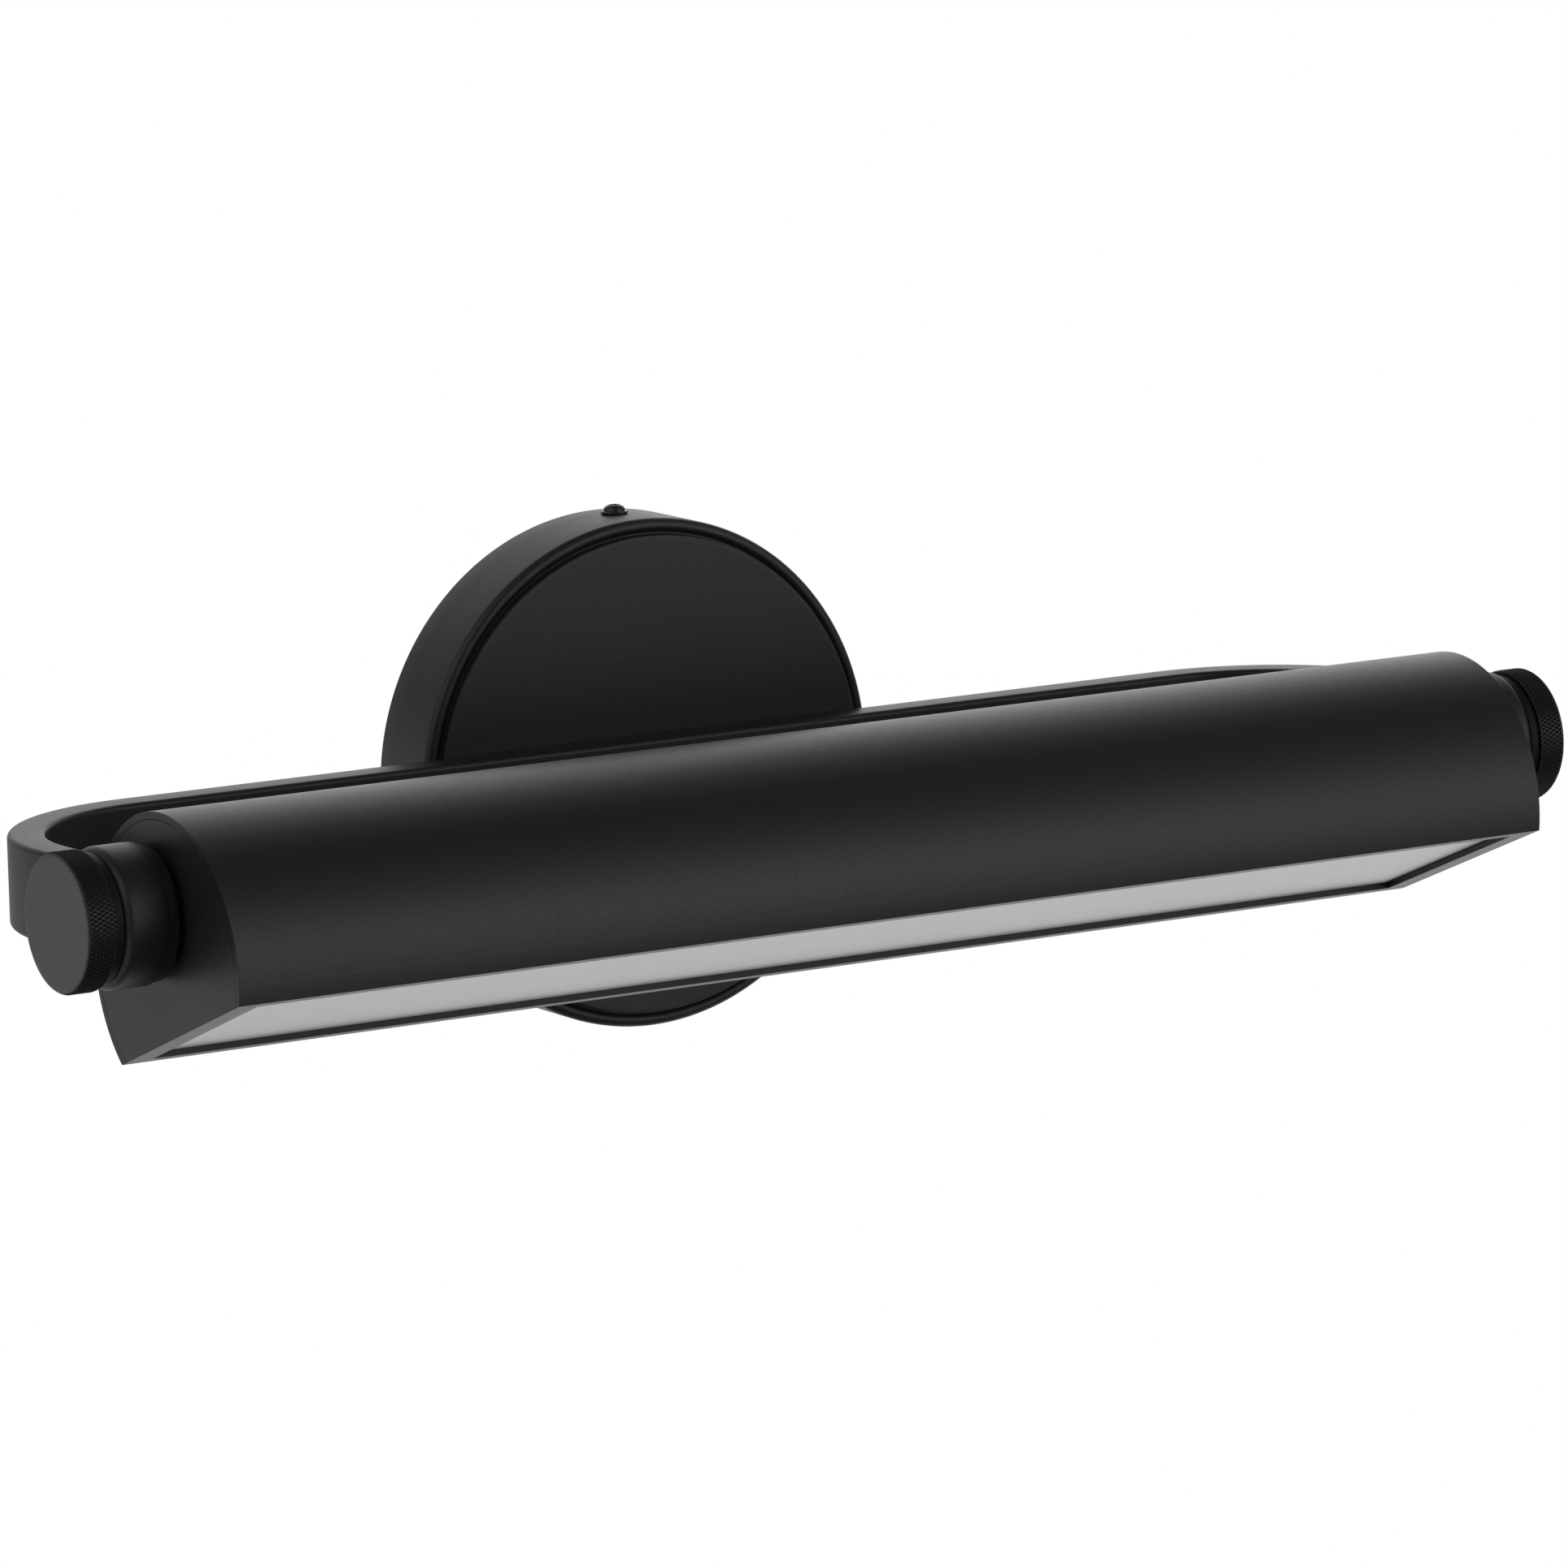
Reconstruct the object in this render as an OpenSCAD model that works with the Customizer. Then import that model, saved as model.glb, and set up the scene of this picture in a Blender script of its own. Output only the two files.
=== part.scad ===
// Picture light: a round wall canopy, a bent tube yoke and a long lamp head that tilts between two thumb knobs.
// Millimetres. X runs along the light, the wall is the plane Y = 0 with the light on its -Y side, and Z is up.
// The origin is the centre of the canopy's open back, on the wall.

/* [Canopy] */
// Outer diameter of the canopy
canopy_d = 127; // [124:0.5:140]
// How far the canopy's front disc stands off the wall
canopy_depth = 24.6; // [24:0.1:30]
// Sheet thickness of the canopy
canopy_wall = 1.5; // [1.2:0.1:1.6]
// Radius rolled round the canopy's front edge
canopy_round = 1.8; // [1.7:0.1:2.2]
// Diameter of the raised disc on the canopy's front
disc_d = 119.2; // [110:0.1:119.5]
// Distance of the canopy's side screws from the wall
side_screw_reach = 9; // [8:0.5:12]

/* [Wall bracket] */
// Thickness of the bracket's steel
bracket_t = 1.8; // [1.5:0.1:2.2]
// Width of the bracket's upright bar
bracket_w = 16; // [14:0.5:17]
// Hole spacing of a large junction box
box_spacing_large = 88.9; // [86:0.1:90]
// Hole spacing of a small junction box
box_spacing_small = 69.85; // [68:0.05:70]
// Width of the junction box screw slots
box_slot_w = 4.6; // [4:0.1:5]
// Length of the junction box screw slots, end to end
box_slot_l = 7.4; // [6:0.1:7.6]

/* [Yoke] */
// Height of the yoke's rectangular tube
tube_h = 22; // [20:0.5:24]
// Depth of the yoke's rectangular tube
tube_t = 9; // [9:0.1:10]
// Wall of the yoke's tube
tube_wall = 1.5; // [1.2:0.1:1.6]
// Outside face of each yoke arm, from the middle of the light
arm_out = 195.5; // [195:0.5:196]
// Outside radius of the yoke's two bends
bend_r = 48.2; // [46:0.1:50]
// How far each arm leans in from the bend to the eye, in degrees
toe_in = 2.9; // [0:0.1:3.5]
// Distance of the tilt axis from the wall
pivot_reach = 105; // [100:0.5:115]
// Height of the yoke's tube above the canopy's centre
yoke_z = -0.5; // [-3:0.1:3]
// How far the tilt axis lies below the middle of the tube
pivot_drop = 1; // [0:0.1:1.5]
// Radius of the round eye on the end of each arm
eye_r = 16.8; // [16.5:0.1:18]

/* [Lamp head] */
// Length of the lamp head
head_l = 363.6; // [363:0.2:364]
// Outside radius of the shade
shade_r = 35.9; // [35:0.1:38]
// Wall of the shade
shade_wall = 2; // [1.8:0.1:2.4]
// Distance of the shade's open side from its centre
chord_drop = 16.75; // [15:0.05:18]
// Height of the tilt axis above the shade's centre
pivot_rise = 13; // [12.5:0.1:13.5]
// Tilt of the head as stored, away from straight down
tilt = 21.2; // [0:0.1:40]
// Thickness of the end caps
cap_t = 6.5; // [6:0.1:7]

/* [Knobs] */
// Radius over the knurled rim
knob_r = 16.65; // [16:0.05:17.5]
// Radius of the knob's flat face
knob_face_r = 16; // [15:0.05:16.4]
// Width of the knurled rim
knob_w = 7; // [7:0.1:9]
// Radius of the plain collar behind the knob
collar_r = 15.6; // [14:0.1:16]
// Width of the collar
collar_w = 2.5; // [2:0.1:3]

/* [Light source] */
// Number of LED chips
led_count = 28; // [10:1:28]
// Distance from chip to chip
led_pitch = 12; // [6:0.5:12]

/* [Hidden] */
$fn = 96;

paint = "#1c1c20";
steel = "silver";
gap = 0.05;                         // running clearance between pieces that move on each other
ease = 0.05;                        // radial clearance of a fastener in a close hole
free = 0.15;                        // radial clearance of a screw in a free hole

// Screws: shank radius, head radius and head height
m4_r = 1.95;
m4_head = [3.9, 2.6];
m3_r = 1.45;
m3_head = [2.75, 2];

// Canopy and bracket
canopy_r = canopy_d / 2;
inside_r = canopy_r - canopy_wall;
inside_y = canopy_depth - canopy_wall;
disc_rise = 1.6;
groove_r = 0.5;                     // groove round the disc's foot
tab_z = inside_r - 0.7;             // outer face of the bracket's bent ends
tab_reach = 14;
side_bar_half = 12;
side_bar_x = 59.5;
supply_hole_r = 6;
side_screw_l = 7;
side_head_h = 2.3;
side_flange_r = 3.5;

// Driver and terminal block, on the bracket's two side arms
driver = [32, 18, 52];
driver_x = 22;
driver_ear = [6.6, 2, 8];
ear_hole = 3.2;                     // from the case to the middle of an ear's hole
ear_holes = [driver_x - ear_hole, driver_x + driver.x + ear_hole];
block = [22, 14, 28];
block_x = -46;
pole_pitch = 9;
poles = [-pole_pitch, 0, pole_pitch];
pole_rows = [-41, -29];
well_r = 2.2;                       // well over each terminal's screw
well_depth = 4;
entry_r = 1.7;                      // hole that a lead goes into
entry_depth = 6;
block_floor = 4;                    // plastic left under the block's fixing screw
block_mid = block_x + block.x / 2;
block_y = -bracket_t - block.y;
ground_z = -24;
ground_head = [4.6, 3.2];
ground_shank = 5;
ring_tongue = [5.4, 1];             // radius and thickness of the earth lead's ring

// Nipple through the canopy's front into the yoke
nipple_r = 5;
nipple_bore = 3.5;
nipple_end = 14;                    // how far its inner end stands off the wall
nipple_flange = [7, 1];
nipple_washer_r = 10;
nipple_washer_w = 1.2;
nipple_nut_flats = 15;
nut_w = 5;
bush_bore = 2.5;
bush_lip = 1.5;
bush_reach = 4;
yoke_screw_x = 18;
yoke_screw_l = 4;

// Yoke
tube_y = canopy_depth;              // back face of the tube, on the canopy's disc
tube_round = 1.2;
bend_y = tube_y + bend_r;
line_r = bend_r - tube_t / 2;       // radius of the bend's middle line
arm_reach = pivot_reach - bend_y - line_r * sin(toe_in);
bend_x = arm_out - tube_t / 2 - line_r * cos(toe_in) + arm_reach * tan(toe_in);
pivot_z = yoke_z - pivot_drop;
eye_in = arm_out - tube_t - 0.3;
eye_w = 11.2;
eye_round = 2;
eye_out = eye_in + eye_w;
chamber_r = 9;                      // space in the eye where the leads turn with the head
chamber_w = 7;
lead_hole_r = 2.6;

// Pivot stack from the end cap outwards
half_l = head_l / 2;
stud_r = 5;
stud_bore = 3;
stud_in = 169;
stud_nut_flats = 14;
window_w = 5.6;                     // opening in the right stud that the leads pass through
window_spare = 18.5;                // how much further than the head turns it reaches, in degrees
friction_r = 13;
friction_w = 1.7;
thrust_r = 16.2;
stop_radius = 12;
stop_r = 1.5;
stop_reach = 3;
tilt_half = 90;                     // the stops let the head turn this far each side of straight down
collar_in = eye_out + gap;
knob_in = collar_in + collar_w + gap;
knob_out = knob_in + knob_w;
stud_out = knob_out - 2.6;

// Head, measured from the tilt axis
chord_z = -pivot_rise - chord_drop;
inner_r = shade_r - shade_wall;
opening_half = sqrt(shade_r * shade_r - chord_drop * chord_drop);
lip_w = 3.5;
lip_h = 1.5;
rib_h = 1.2;
diffuser_t = 2;
diffuser_half = 30;
web_z = -10.75;                     // underside of the web that carries the LED board
web_t = 2;
port_y = 12.2;
port_r = 2.9;
port_hole = 1.3;
sink_depth = 1.6;                   // countersink of the end caps' screws
sink_r = m3_r + 1.7;
board = [340, 18, 1.6];
board_screw_y = 6;
board_screw_xs = [-160, -80, 0, 80, 160];
led = [3.5, 2.8, 0.8];
board_screw_l = 4.5;
board_screw_head = [2.7, 1.8];
lead_drop_x = 158;
grommet_r = 3;
grommet_flange = [4.2, 1];
grommet_bore = 2.1;

// Leads
lead_r = 0.75;
lead_sides = 8;
lead_apart = 0.85;                  // half the distance between two leads in a bore
bore_leads = [lead_apart, -lead_apart];
tube_leads = [line_r + 1, line_r - 1];      // radius of each lead's path round the yoke's bend
eye_leads = [arm_out - 3.9, arm_out - 5.7]; // where each lead comes into the eye
lead_from_x = block_x + block.x - 5;
lead_from_y = block_y + block.y / 2;

// ---- placing ----
module facing_out() {
    rotate([90, 0, 0]) children();
}
module on_pivot(x) {
    translate([x, -pivot_reach, pivot_z]) rotate([90, 0, 90]) children();
}
module on_head(x) {
    translate([0, -pivot_reach, pivot_z]) rotate([-tilt, 0, 0]) translate([x, 0, 0])
        rotate([90, 0, 90]) children();
}
module both_ends() {
    children();
    mirror([1, 0, 0]) children();
}
module left_side() {
    mirror([1, 0, 0]) children();
}

// ---- shared shapes ----
// A solid of revolution with its far edge rounded
module round_drum(r, h, edge) {
    rotate_extrude() {
        square([r - edge, h]);
        square([r, h - edge]);
        translate([r - edge, h - edge]) intersection() {
            circle(edge);
            square(edge);
        }
    }
}
module tube(r, bore, h) {
    difference() {
        cylinder(r = r, h = h);
        translate([0, 0, -1]) cylinder(r = bore, h = h + 2);
    }
}
// A rectangle with rounded corners, centred on the origin
module round_rect(w, h, r) {
    square([w - 2 * r, h], center = true);
    square([w, h - 2 * r], center = true);
    for (x = [-1, 1], y = [-1, 1])
        translate([x * (w / 2 - r), y * (h / 2 - r)]) circle(r);
}
// A slot along Y with round ends, length over all
module slot(w, l, h) {
    translate([-w / 2, -(l - w) / 2, 0]) cube([w, l - w, h]);
    for (end = [-1, 1])
        translate([0, end * (l - w) / 2, 0]) cylinder(r = w / 2, h = h);
}
// A pan-head screw pointing down -Z, its head on the plane Z = 0, with a cross recess;
// head is the head's radius and height
module pan_screw(shank_r, length, head, flange_r = 0) {
    cross = [head[0] * 1.1, 0.8, head[1]];
    difference() {
        union() {
            round_drum(head[0], head[1], head[1] * 0.6);
            if (flange_r > 0) cylinder(r = flange_r, h = 0.7);
            translate([0, 0, -length]) cylinder(r = shank_r, h = length + 0.1);
        }
        for (turn = [0, 90])
            rotate([0, 0, turn]) translate([-cross.x / 2, -cross.y / 2, head[1] * 0.4]) cube(cross);
    }
}
module hex_nut(flats, bore, h) {
    difference() {
        cylinder(r = flats / sqrt(3), h = h, $fn = 6);
        translate([0, 0, -1]) cylinder(r = bore, h = h + 2);
    }
}

// ---- leads ----
function unit(v) = v / norm(v);
function corner_cut(a, b, c, cut) = let (u = unit(a - b), w = unit(c - b))
    [for (t = [0:0.25:1]) b + cut * pow(1 - t, 2) * u + cut * t * t * w];
function rounded_path(p, cut) = concat([p[0]],
    [for (i = [1:len(p) - 2]) each corner_cut(p[i - 1], p[i], p[i + 1], cut)], [p[len(p) - 1]]);
function heading(p, i) = let (last = len(p) - 1)
    unit((i < last ? unit(p[i + 1] - p[i]) : [0, 0, 0]) + (i > 0 ? unit(p[i] - p[i - 1]) : [0, 0, 0]));
function squared(n, d) = unit(n - (n * d) * d);
function side_vectors(p, n, i = 0) = i == len(p) ? [] :
    let (m = squared(n, heading(p, i))) concat([m], side_vectors(p, m, i + 1));
// A round lead along the points p; start is any direction square to its first stretch
module lead(p, start, r = lead_r) {
    sides = side_vectors(p, start);
    rings = len(p);
    points = [for (i = [0:rings - 1]) let (d = heading(p, i), n = sides[i], b = cross(d, n))
        for (k = [0:lead_sides - 1]) let (a = 360 * k / lead_sides) p[i] + r * (cos(a) * n + sin(a) * b)];
    ends = [[for (k = [0:lead_sides - 1]) k], [for (k = [0:lead_sides - 1]) rings * lead_sides - 1 - k]];
    walls = [for (i = [0:rings - 2], k = [0:lead_sides - 1]) let (a = i * lead_sides, j = (k + 1) % lead_sides)
        [a + k, a + lead_sides + k, a + lead_sides + j, a + j]];
    polyhedron(points, concat(ends, walls), convexity = 10);
}

// ---- on the wall ----
module wall_bracket() {
    color("gainsboro") difference() {
        union() {
            translate([-bracket_w / 2, -bracket_t, -tab_z]) cube([bracket_w, bracket_t, 2 * tab_z]);
            translate([-side_bar_x, -bracket_t, -side_bar_half])
                cube([2 * side_bar_x, bracket_t, 2 * side_bar_half]);
            for (up = [0, 1])
                mirror([0, 0, up]) translate([-bracket_w / 2, -tab_reach, tab_z - bracket_t])
                    cube([bracket_w, tab_reach, bracket_t]);
        }
        facing_out() translate([0, 0, -1]) {
            cylinder(r = supply_hole_r, h = bracket_t + 2);
            for (spacing = [box_spacing_large, box_spacing_small], end = [-1, 1])
                translate([0, end * spacing / 2, 0]) slot(box_slot_w, box_slot_l, bracket_t + 2);
            translate([0, ground_z, 0]) cylinder(r = m4_r + ease, h = bracket_t + 2);
            for (x = ear_holes)
                translate([x, 0, 0]) cylinder(r = m3_r + ease, h = bracket_t + 2);
            translate([block_mid, pole_pitch / 2, 0]) cylinder(r = m3_r + ease, h = bracket_t + 2);
        }
        translate([0, -side_screw_reach, -tab_z - 1]) cylinder(r = m3_r + ease, h = 2 * tab_z + 2);
    }
}
module ground_screw() {
    slot = [6, 1, 1.2];
    color("green") translate([0, -bracket_t - ring_tongue[1], ground_z]) facing_out() difference() {
        union() {
            cylinder(r = ground_head[0], h = ground_head[1], $fn = 6);
            translate([0, 0, -ground_shank]) cylinder(r = m4_r, h = ground_shank + 0.1);
        }
        translate([-slot.x / 2, -slot.y / 2, ground_head[1] - slot.z]) cube([slot.x, slot.y, slot.z + 1]);
    }
}
module terminal_block() {
    color("white") difference() {
        translate([block_x, block_y, -block.z / 2]) cube(block);
        translate([block_mid, block_y - 1, pole_pitch / 2]) rotate([-90, 0, 0]) {
            cylinder(r = m3_r + free, h = block.y + 2);
            cylinder(r = m3_head[0] + 0.25, h = block.y - block_floor + 1);
        }
        for (x = pole_rows, z = poles)
            translate([x, block_y - 1, z]) rotate([-90, 0, 0]) cylinder(r = well_r, h = well_depth + 1);
        for (x = [block_x - 1, block_x + block.x - entry_depth], z = poles)
            translate([x, block_y + block.y / 2, z]) rotate([0, 90, 0]) cylinder(r = entry_r, h = entry_depth + 1);
    }
}
module terminal_screws() {
    head = [2, 3];
    slot = [6, 0.8, 1];
    color("goldenrod") for (x = pole_rows, z = poles)
        translate([x, block_y + well_depth, z]) facing_out() difference() {
            cylinder(r = head[0], h = head[1]);
            translate([-slot.x / 2, -slot.y / 2, head[1] - slot.z]) cube([slot.x, slot.y, slot.z + 1]);
        }
}
module led_driver() {
    color("whitesmoke") difference() {
        union() {
            translate([driver_x, -bracket_t - driver.y, -driver.z / 2]) cube(driver);
            for (x = [driver_x - driver_ear.x, driver_x + driver.x])
                translate([x, -bracket_t - driver_ear.y, -driver_ear.z / 2]) cube(driver_ear);
        }
        for (x = ear_holes)
            translate([x, 0, 0]) facing_out() cylinder(r = m3_r + free, h = bracket_t + driver_ear.y + 1);
    }
}
module bracket_screws() {
    color(steel) {
        for (x = ear_holes)
            translate([x, -bracket_t - driver_ear.y, 0]) facing_out() pan_screw(m3_r, driver_ear.y + 2.5, m3_head);
        translate([block_mid, -bracket_t - block_floor, pole_pitch / 2]) facing_out()
            pan_screw(m3_r, block_floor + 2.5, m3_head);
    }
}
module supply_leads() {
    driver_y = -7;
    for (i = [0, 1]) {
        from_z = [pole_pitch, 0][i];
        to_z = [19, 14][i];
        route = [[lead_from_x, lead_from_y, from_z], [-18 - i, lead_from_y, from_z],
            [-8 - 2 * i, driver_y, to_z], [12, driver_y, to_z], [driver_x, driver_y, to_z]];
        color(["black", "white"][i]) lead(rounded_path(route, 3), [0, 0, 1]);
    }
}
module earth_lead() {
    ring_y = -bracket_t - lead_r - ease;
    route = [[lead_from_x, lead_from_y, -pole_pitch], [-17, lead_from_y, -pole_pitch],
        [-8, -6, -14], [-5, ring_y, ground_z + 6], [-3.2, ring_y, ground_z + 4.2]];
    color("green") {
        lead(rounded_path(route, 2.5), [0, 0, 1]);
        translate([0, -bracket_t, ground_z]) facing_out() tube(ring_tongue[0], m4_r + ease, ring_tongue[1]);
    }
}

// ---- canopy ----
module canopy() {
    ring_h = canopy_depth - disc_rise;
    color(paint) facing_out() difference() {
        union() {
            round_drum(canopy_r, ring_h, canopy_round);
            cylinder(r = disc_d / 2, h = canopy_depth);
        }
        translate([0, 0, -1]) round_drum(inside_r, ring_h - canopy_wall + 1, canopy_round - canopy_wall);
        translate([0, 0, -1]) cylinder(r = disc_d / 2 - canopy_wall, h = inside_y + 1);
        rotate_extrude() translate([disc_d / 2 + groove_r, ring_h]) circle(groove_r);
        translate([0, yoke_z, 0]) cylinder(r = nipple_r + ease, h = canopy_depth + 1);
        for (side = [-1, 1])
            translate([side * yoke_screw_x, yoke_z, 0]) cylinder(r = m4_r + free, h = canopy_depth + 1);
        translate([0, -canopy_r - 1, side_screw_reach]) rotate([-90, 0, 0])
            cylinder(r = m3_r + free, h = canopy_d + 2);
    }
}
module canopy_screws() {
    color(paint) for (up = [0, 1])
        mirror([0, 0, up]) translate([0, -side_screw_reach, canopy_r])
            pan_screw(m3_r, side_screw_l, [m3_head[0], side_head_h], side_flange_r);
}

// ---- yoke ----
module tube_section(inset) {
    round_rect(tube_t - 2 * inset, tube_h - 2 * inset, max(tube_round - inset / 2, 0.3));
}
// Half of the bent tube's path, as a solid of the given section
module half_yoke(inset, over = 0) {
    translate([-over, -tube_y - tube_t / 2, yoke_z]) rotate([90, 0, 90])
        linear_extrude(bend_x + over) tube_section(inset);
    translate([bend_x, -bend_y, yoke_z]) rotate([0, 0, -toe_in]) {
        rotate_extrude(angle = 90 + toe_in) translate([line_r, 0]) tube_section(inset);
        translate([line_r, 0, 0]) rotate([90, 0, 0])
            linear_extrude(arm_reach / cos(toe_in)) tube_section(inset);
    }
}
module yoke_tube() {
    color(paint) difference() {
        both_ends() half_yoke(0);
        both_ends() half_yoke(tube_wall, 1);
        both_ends() on_pivot(0) cylinder(r = eye_r, h = arm_out + 5);
        translate([0, 0, yoke_z]) facing_out() {
            cylinder(r = nipple_r + ease, h = tube_y + tube_wall + 1);
            for (side = [-1, 1])
                translate([side * yoke_screw_x, 0, 0]) cylinder(r = m4_r + ease, h = tube_y + tube_wall + 1);
        }
    }
}
module yoke_nipple() {
    color(steel) translate([0, 0, yoke_z]) facing_out() difference() {
        union() {
            translate([0, 0, nipple_end]) cylinder(r = nipple_r, h = tube_y + tube_wall - nipple_end);
            translate([0, 0, tube_y + tube_wall]) cylinder(r = nipple_flange[0], h = nipple_flange[1]);
        }
        translate([0, 0, nipple_end - 1]) cylinder(r = nipple_bore, h = tube_y);
    }
}
module nipple_washer() {
    color(steel) translate([0, -inside_y + nipple_washer_w, yoke_z]) facing_out()
        tube(nipple_washer_r, nipple_r + ease, nipple_washer_w);
}
module nipple_nut() {
    color(steel) translate([0, -inside_y + nipple_washer_w + nut_w, yoke_z]) facing_out()
        hex_nut(nipple_nut_flats, nipple_r + ease, nut_w);
}
module nipple_bush() {
    color("black") translate([0, 0, yoke_z]) facing_out() difference() {
        union() {
            translate([0, 0, nipple_end - bush_lip]) cylinder(r = nipple_r, h = bush_lip);
            translate([0, 0, nipple_end]) cylinder(r = nipple_bore - ease, h = bush_reach);
        }
        translate([0, 0, nipple_end - bush_lip - 1]) cylinder(r = bush_bore, h = bush_lip + bush_reach + 2);
    }
}
module yoke_screws() {
    color(steel) for (side = [-1, 1])
        translate([side * yoke_screw_x, -inside_y, yoke_z]) rotate([-90, 0, 0])
            pan_screw(m4_r, yoke_screw_l, m4_head);
}
module yoke_leads() {
    for (i = [0, 1]) {
        bore = bore_leads[i];
        path_r = tube_leads[i];
        in_tube = -bend_y + path_r;
        in_canopy = -nipple_end + 3.5 + 2 * i;
        to_tube = [[driver_x, in_canopy, yoke_z], [bore, in_canopy, yoke_z], [bore, in_tube, yoke_z],
            [bend_x - 4, in_tube, yoke_z]];
        bend = [for (i = [0:10]) let (a = 90 - (90 + toe_in) * i / 10)
            [bend_x + path_r * cos(a), -bend_y + path_r * sin(a), yoke_z]];
        to_axis = [[eye_leads[i], -pivot_reach + eye_r, pivot_z],
            [eye_leads[i], -pivot_reach - bore, pivot_z], [eye_in, -pivot_reach - bore, pivot_z]];
        color(["red", "black"][i])
            lead(concat(rounded_path(to_tube, 1.2), bend, rounded_path(to_axis, 0.8)), [0, 0, 1]);
    }
}
// Round eye that the arm ends in; the stud turns in its bore and the leads pass through its chamber
module eye(has_stop) {
    difference() {
        on_pivot(eye_in) difference() {
            round_drum(eye_r, eye_w, eye_round);
            translate([0, 0, -1]) cylinder(r = stud_r + gap, h = eye_w + 2);
            translate([0, 0, -1]) cylinder(r = chamber_r, h = chamber_w + 1);
            if (has_stop) translate([0, 0, -1]) stop_groove();
        }
        translate([(eye_leads[0] + eye_leads[1]) / 2, -pivot_reach, pivot_z]) rotate([-90, 0, 0])
            cylinder(r = lead_hole_r, h = eye_r + 1);
    }
}
// Half-circle groove that the stop pin travels in
module stop_groove() {
    depth = stop_reach + 1.5;
    groove = stop_r + gap;
    rotate_extrude(angle = 2 * tilt_half) translate([stop_radius - groove, 0]) square([2 * groove, depth]);
    for (side = [-1, 1])
        translate([side * stop_radius, 0, 0]) cylinder(r = groove, h = depth);
}
module left_eye() {
    color(paint) left_side() eye(true);
}
module right_eye() {
    color(paint) eye(false);
}

// ---- lamp head ----
// The shade's outline: a circle cut off at its open side
module head_outline(r) {
    difference() {
        translate([0, -pivot_rise]) circle(r);
        translate([-2 * r, chord_z - 2 * r]) square([4 * r, 2 * r]);
    }
}
// Lips, ribs, web and screw ports, which stop short of the end caps
module inner_profile() {
    fuse = shade_wall / 2;
    rib_z = chord_z + lip_h + diffuser_t + 0.2;
    intersection() {
        head_outline(inner_r + fuse);
        union() {
            for (side = [0, 1]) mirror([side, 0]) {
                translate([opening_half - lip_w, chord_z]) square([10, lip_h]);
                translate([diffuser_half - 1, rib_z]) square([10, rib_h]);
            }
            translate([-shade_r, web_z]) square([2 * shade_r, web_t]);
        }
    }
    for (side = [-1, 1]) {
        translate([side * port_y, 0]) circle(port_r);
        translate([side * port_y - 1, web_z + web_t / 2]) square([2, -web_z - web_t / 2]);
    }
}
module shade() {
    inner_l = head_l - 2 * cap_t - 0.1;
    color(paint) difference() {
        union() {
            on_head(-half_l) linear_extrude(head_l) difference() {
                head_outline(shade_r);
                translate([0, -pivot_rise]) circle(inner_r);
            }
            on_head(-inner_l / 2) linear_extrude(inner_l) inner_profile();
        }
        for (side = [-1, 1])
            on_head(-half_l) translate([side * port_y, 0, 0]) cylinder(r = port_hole, h = head_l);
        for (x = board_screw_xs)
            on_head(x) translate([board_screw_y, web_z - 1, 0]) rotate([-90, 0, 0])
                cylinder(r = port_hole, h = web_t + 2);
        on_head(lead_drop_x) translate([0, web_z - 1, 0]) rotate([-90, 0, 0])
            cylinder(r = grommet_r, h = web_t + 2);
    }
}
module end_cap(has_stop) {
    on_head(half_l - cap_t) difference() {
        linear_extrude(cap_t) head_outline(inner_r - 0.02);
        translate([0, 0, -1]) cylinder(r = stud_r + ease, h = cap_t + 2);
        for (side = [-1, 1]) {
            translate([side * port_y, 0, -1]) cylinder(r = m3_r + 0.1, h = cap_t + 2);
            translate([side * port_y, 0, cap_t - sink_depth])
                cylinder(r1 = m3_r + 0.1, r2 = sink_r + 0.01, h = sink_depth + 0.01);
        }
        if (has_stop) translate([0, stop_radius, -1]) cylinder(r = stop_r, h = cap_t + 2);
    }
}
module left_end_cap() {
    color(paint) left_side() end_cap(true);
}
module right_end_cap() {
    color(paint) end_cap(false);
}
module end_cap_screws() {
    color(steel) both_ends() for (side = [-1, 1])
        on_head(half_l) translate([side * port_y, 0, 0]) difference() {
            union() {
                translate([0, 0, -14]) cylinder(r = port_hole - ease, h = 13);
                translate([0, 0, -1.5]) cylinder(r1 = port_hole - ease, r2 = sink_r - 0.2, h = 1.4);
            }
            for (turn = [0, 90])
                rotate([0, 0, turn]) translate([-1.6, -0.35, -1]) cube([3.2, 0.7, 2]);
        }
}
module pivot_stud(has_window) {
    window_half = tilt_half + window_spare;
    window_from = eye_in + 0.8;
    on_head(stud_in) difference() {
        cylinder(r = stud_r, h = stud_out - stud_in);
        translate([0, 0, -1]) cylinder(r = stud_bore, h = stud_out - stud_in + 2);
        if (has_window) translate([0, 0, window_from - stud_in]) rotate([0, 0, -window_half])
            rotate_extrude(angle = 2 * window_half) square([stud_r + 1, window_w]);
    }
}
module left_pivot_stud() {
    color(steel) left_side() pivot_stud(false);
}
module right_pivot_stud() {
    color(steel) pivot_stud(true);
}
module pivot_lock_nuts() {
    color(steel) both_ends() on_head(half_l - cap_t - nut_w) hex_nut(stud_nut_flats, stud_r + ease, nut_w);
}
module friction_washers() {
    color("ivory") difference() {
        both_ends() on_head(half_l) tube(friction_r, stud_r + ease, friction_w);
        left_side() on_head(half_l - 1) translate([0, stop_radius, 0]) cylinder(r = stop_r + ease, h = 5);
    }
}
module thrust_washers() {
    start = half_l + friction_w;
    color(paint) difference() {
        both_ends() on_head(start) tube(thrust_r, stud_r + ease, eye_in - gap - start);
        left_side() on_head(start - 1) translate([0, stop_radius, 0]) cylinder(r = stop_r + ease, h = 5);
    }
}
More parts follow.
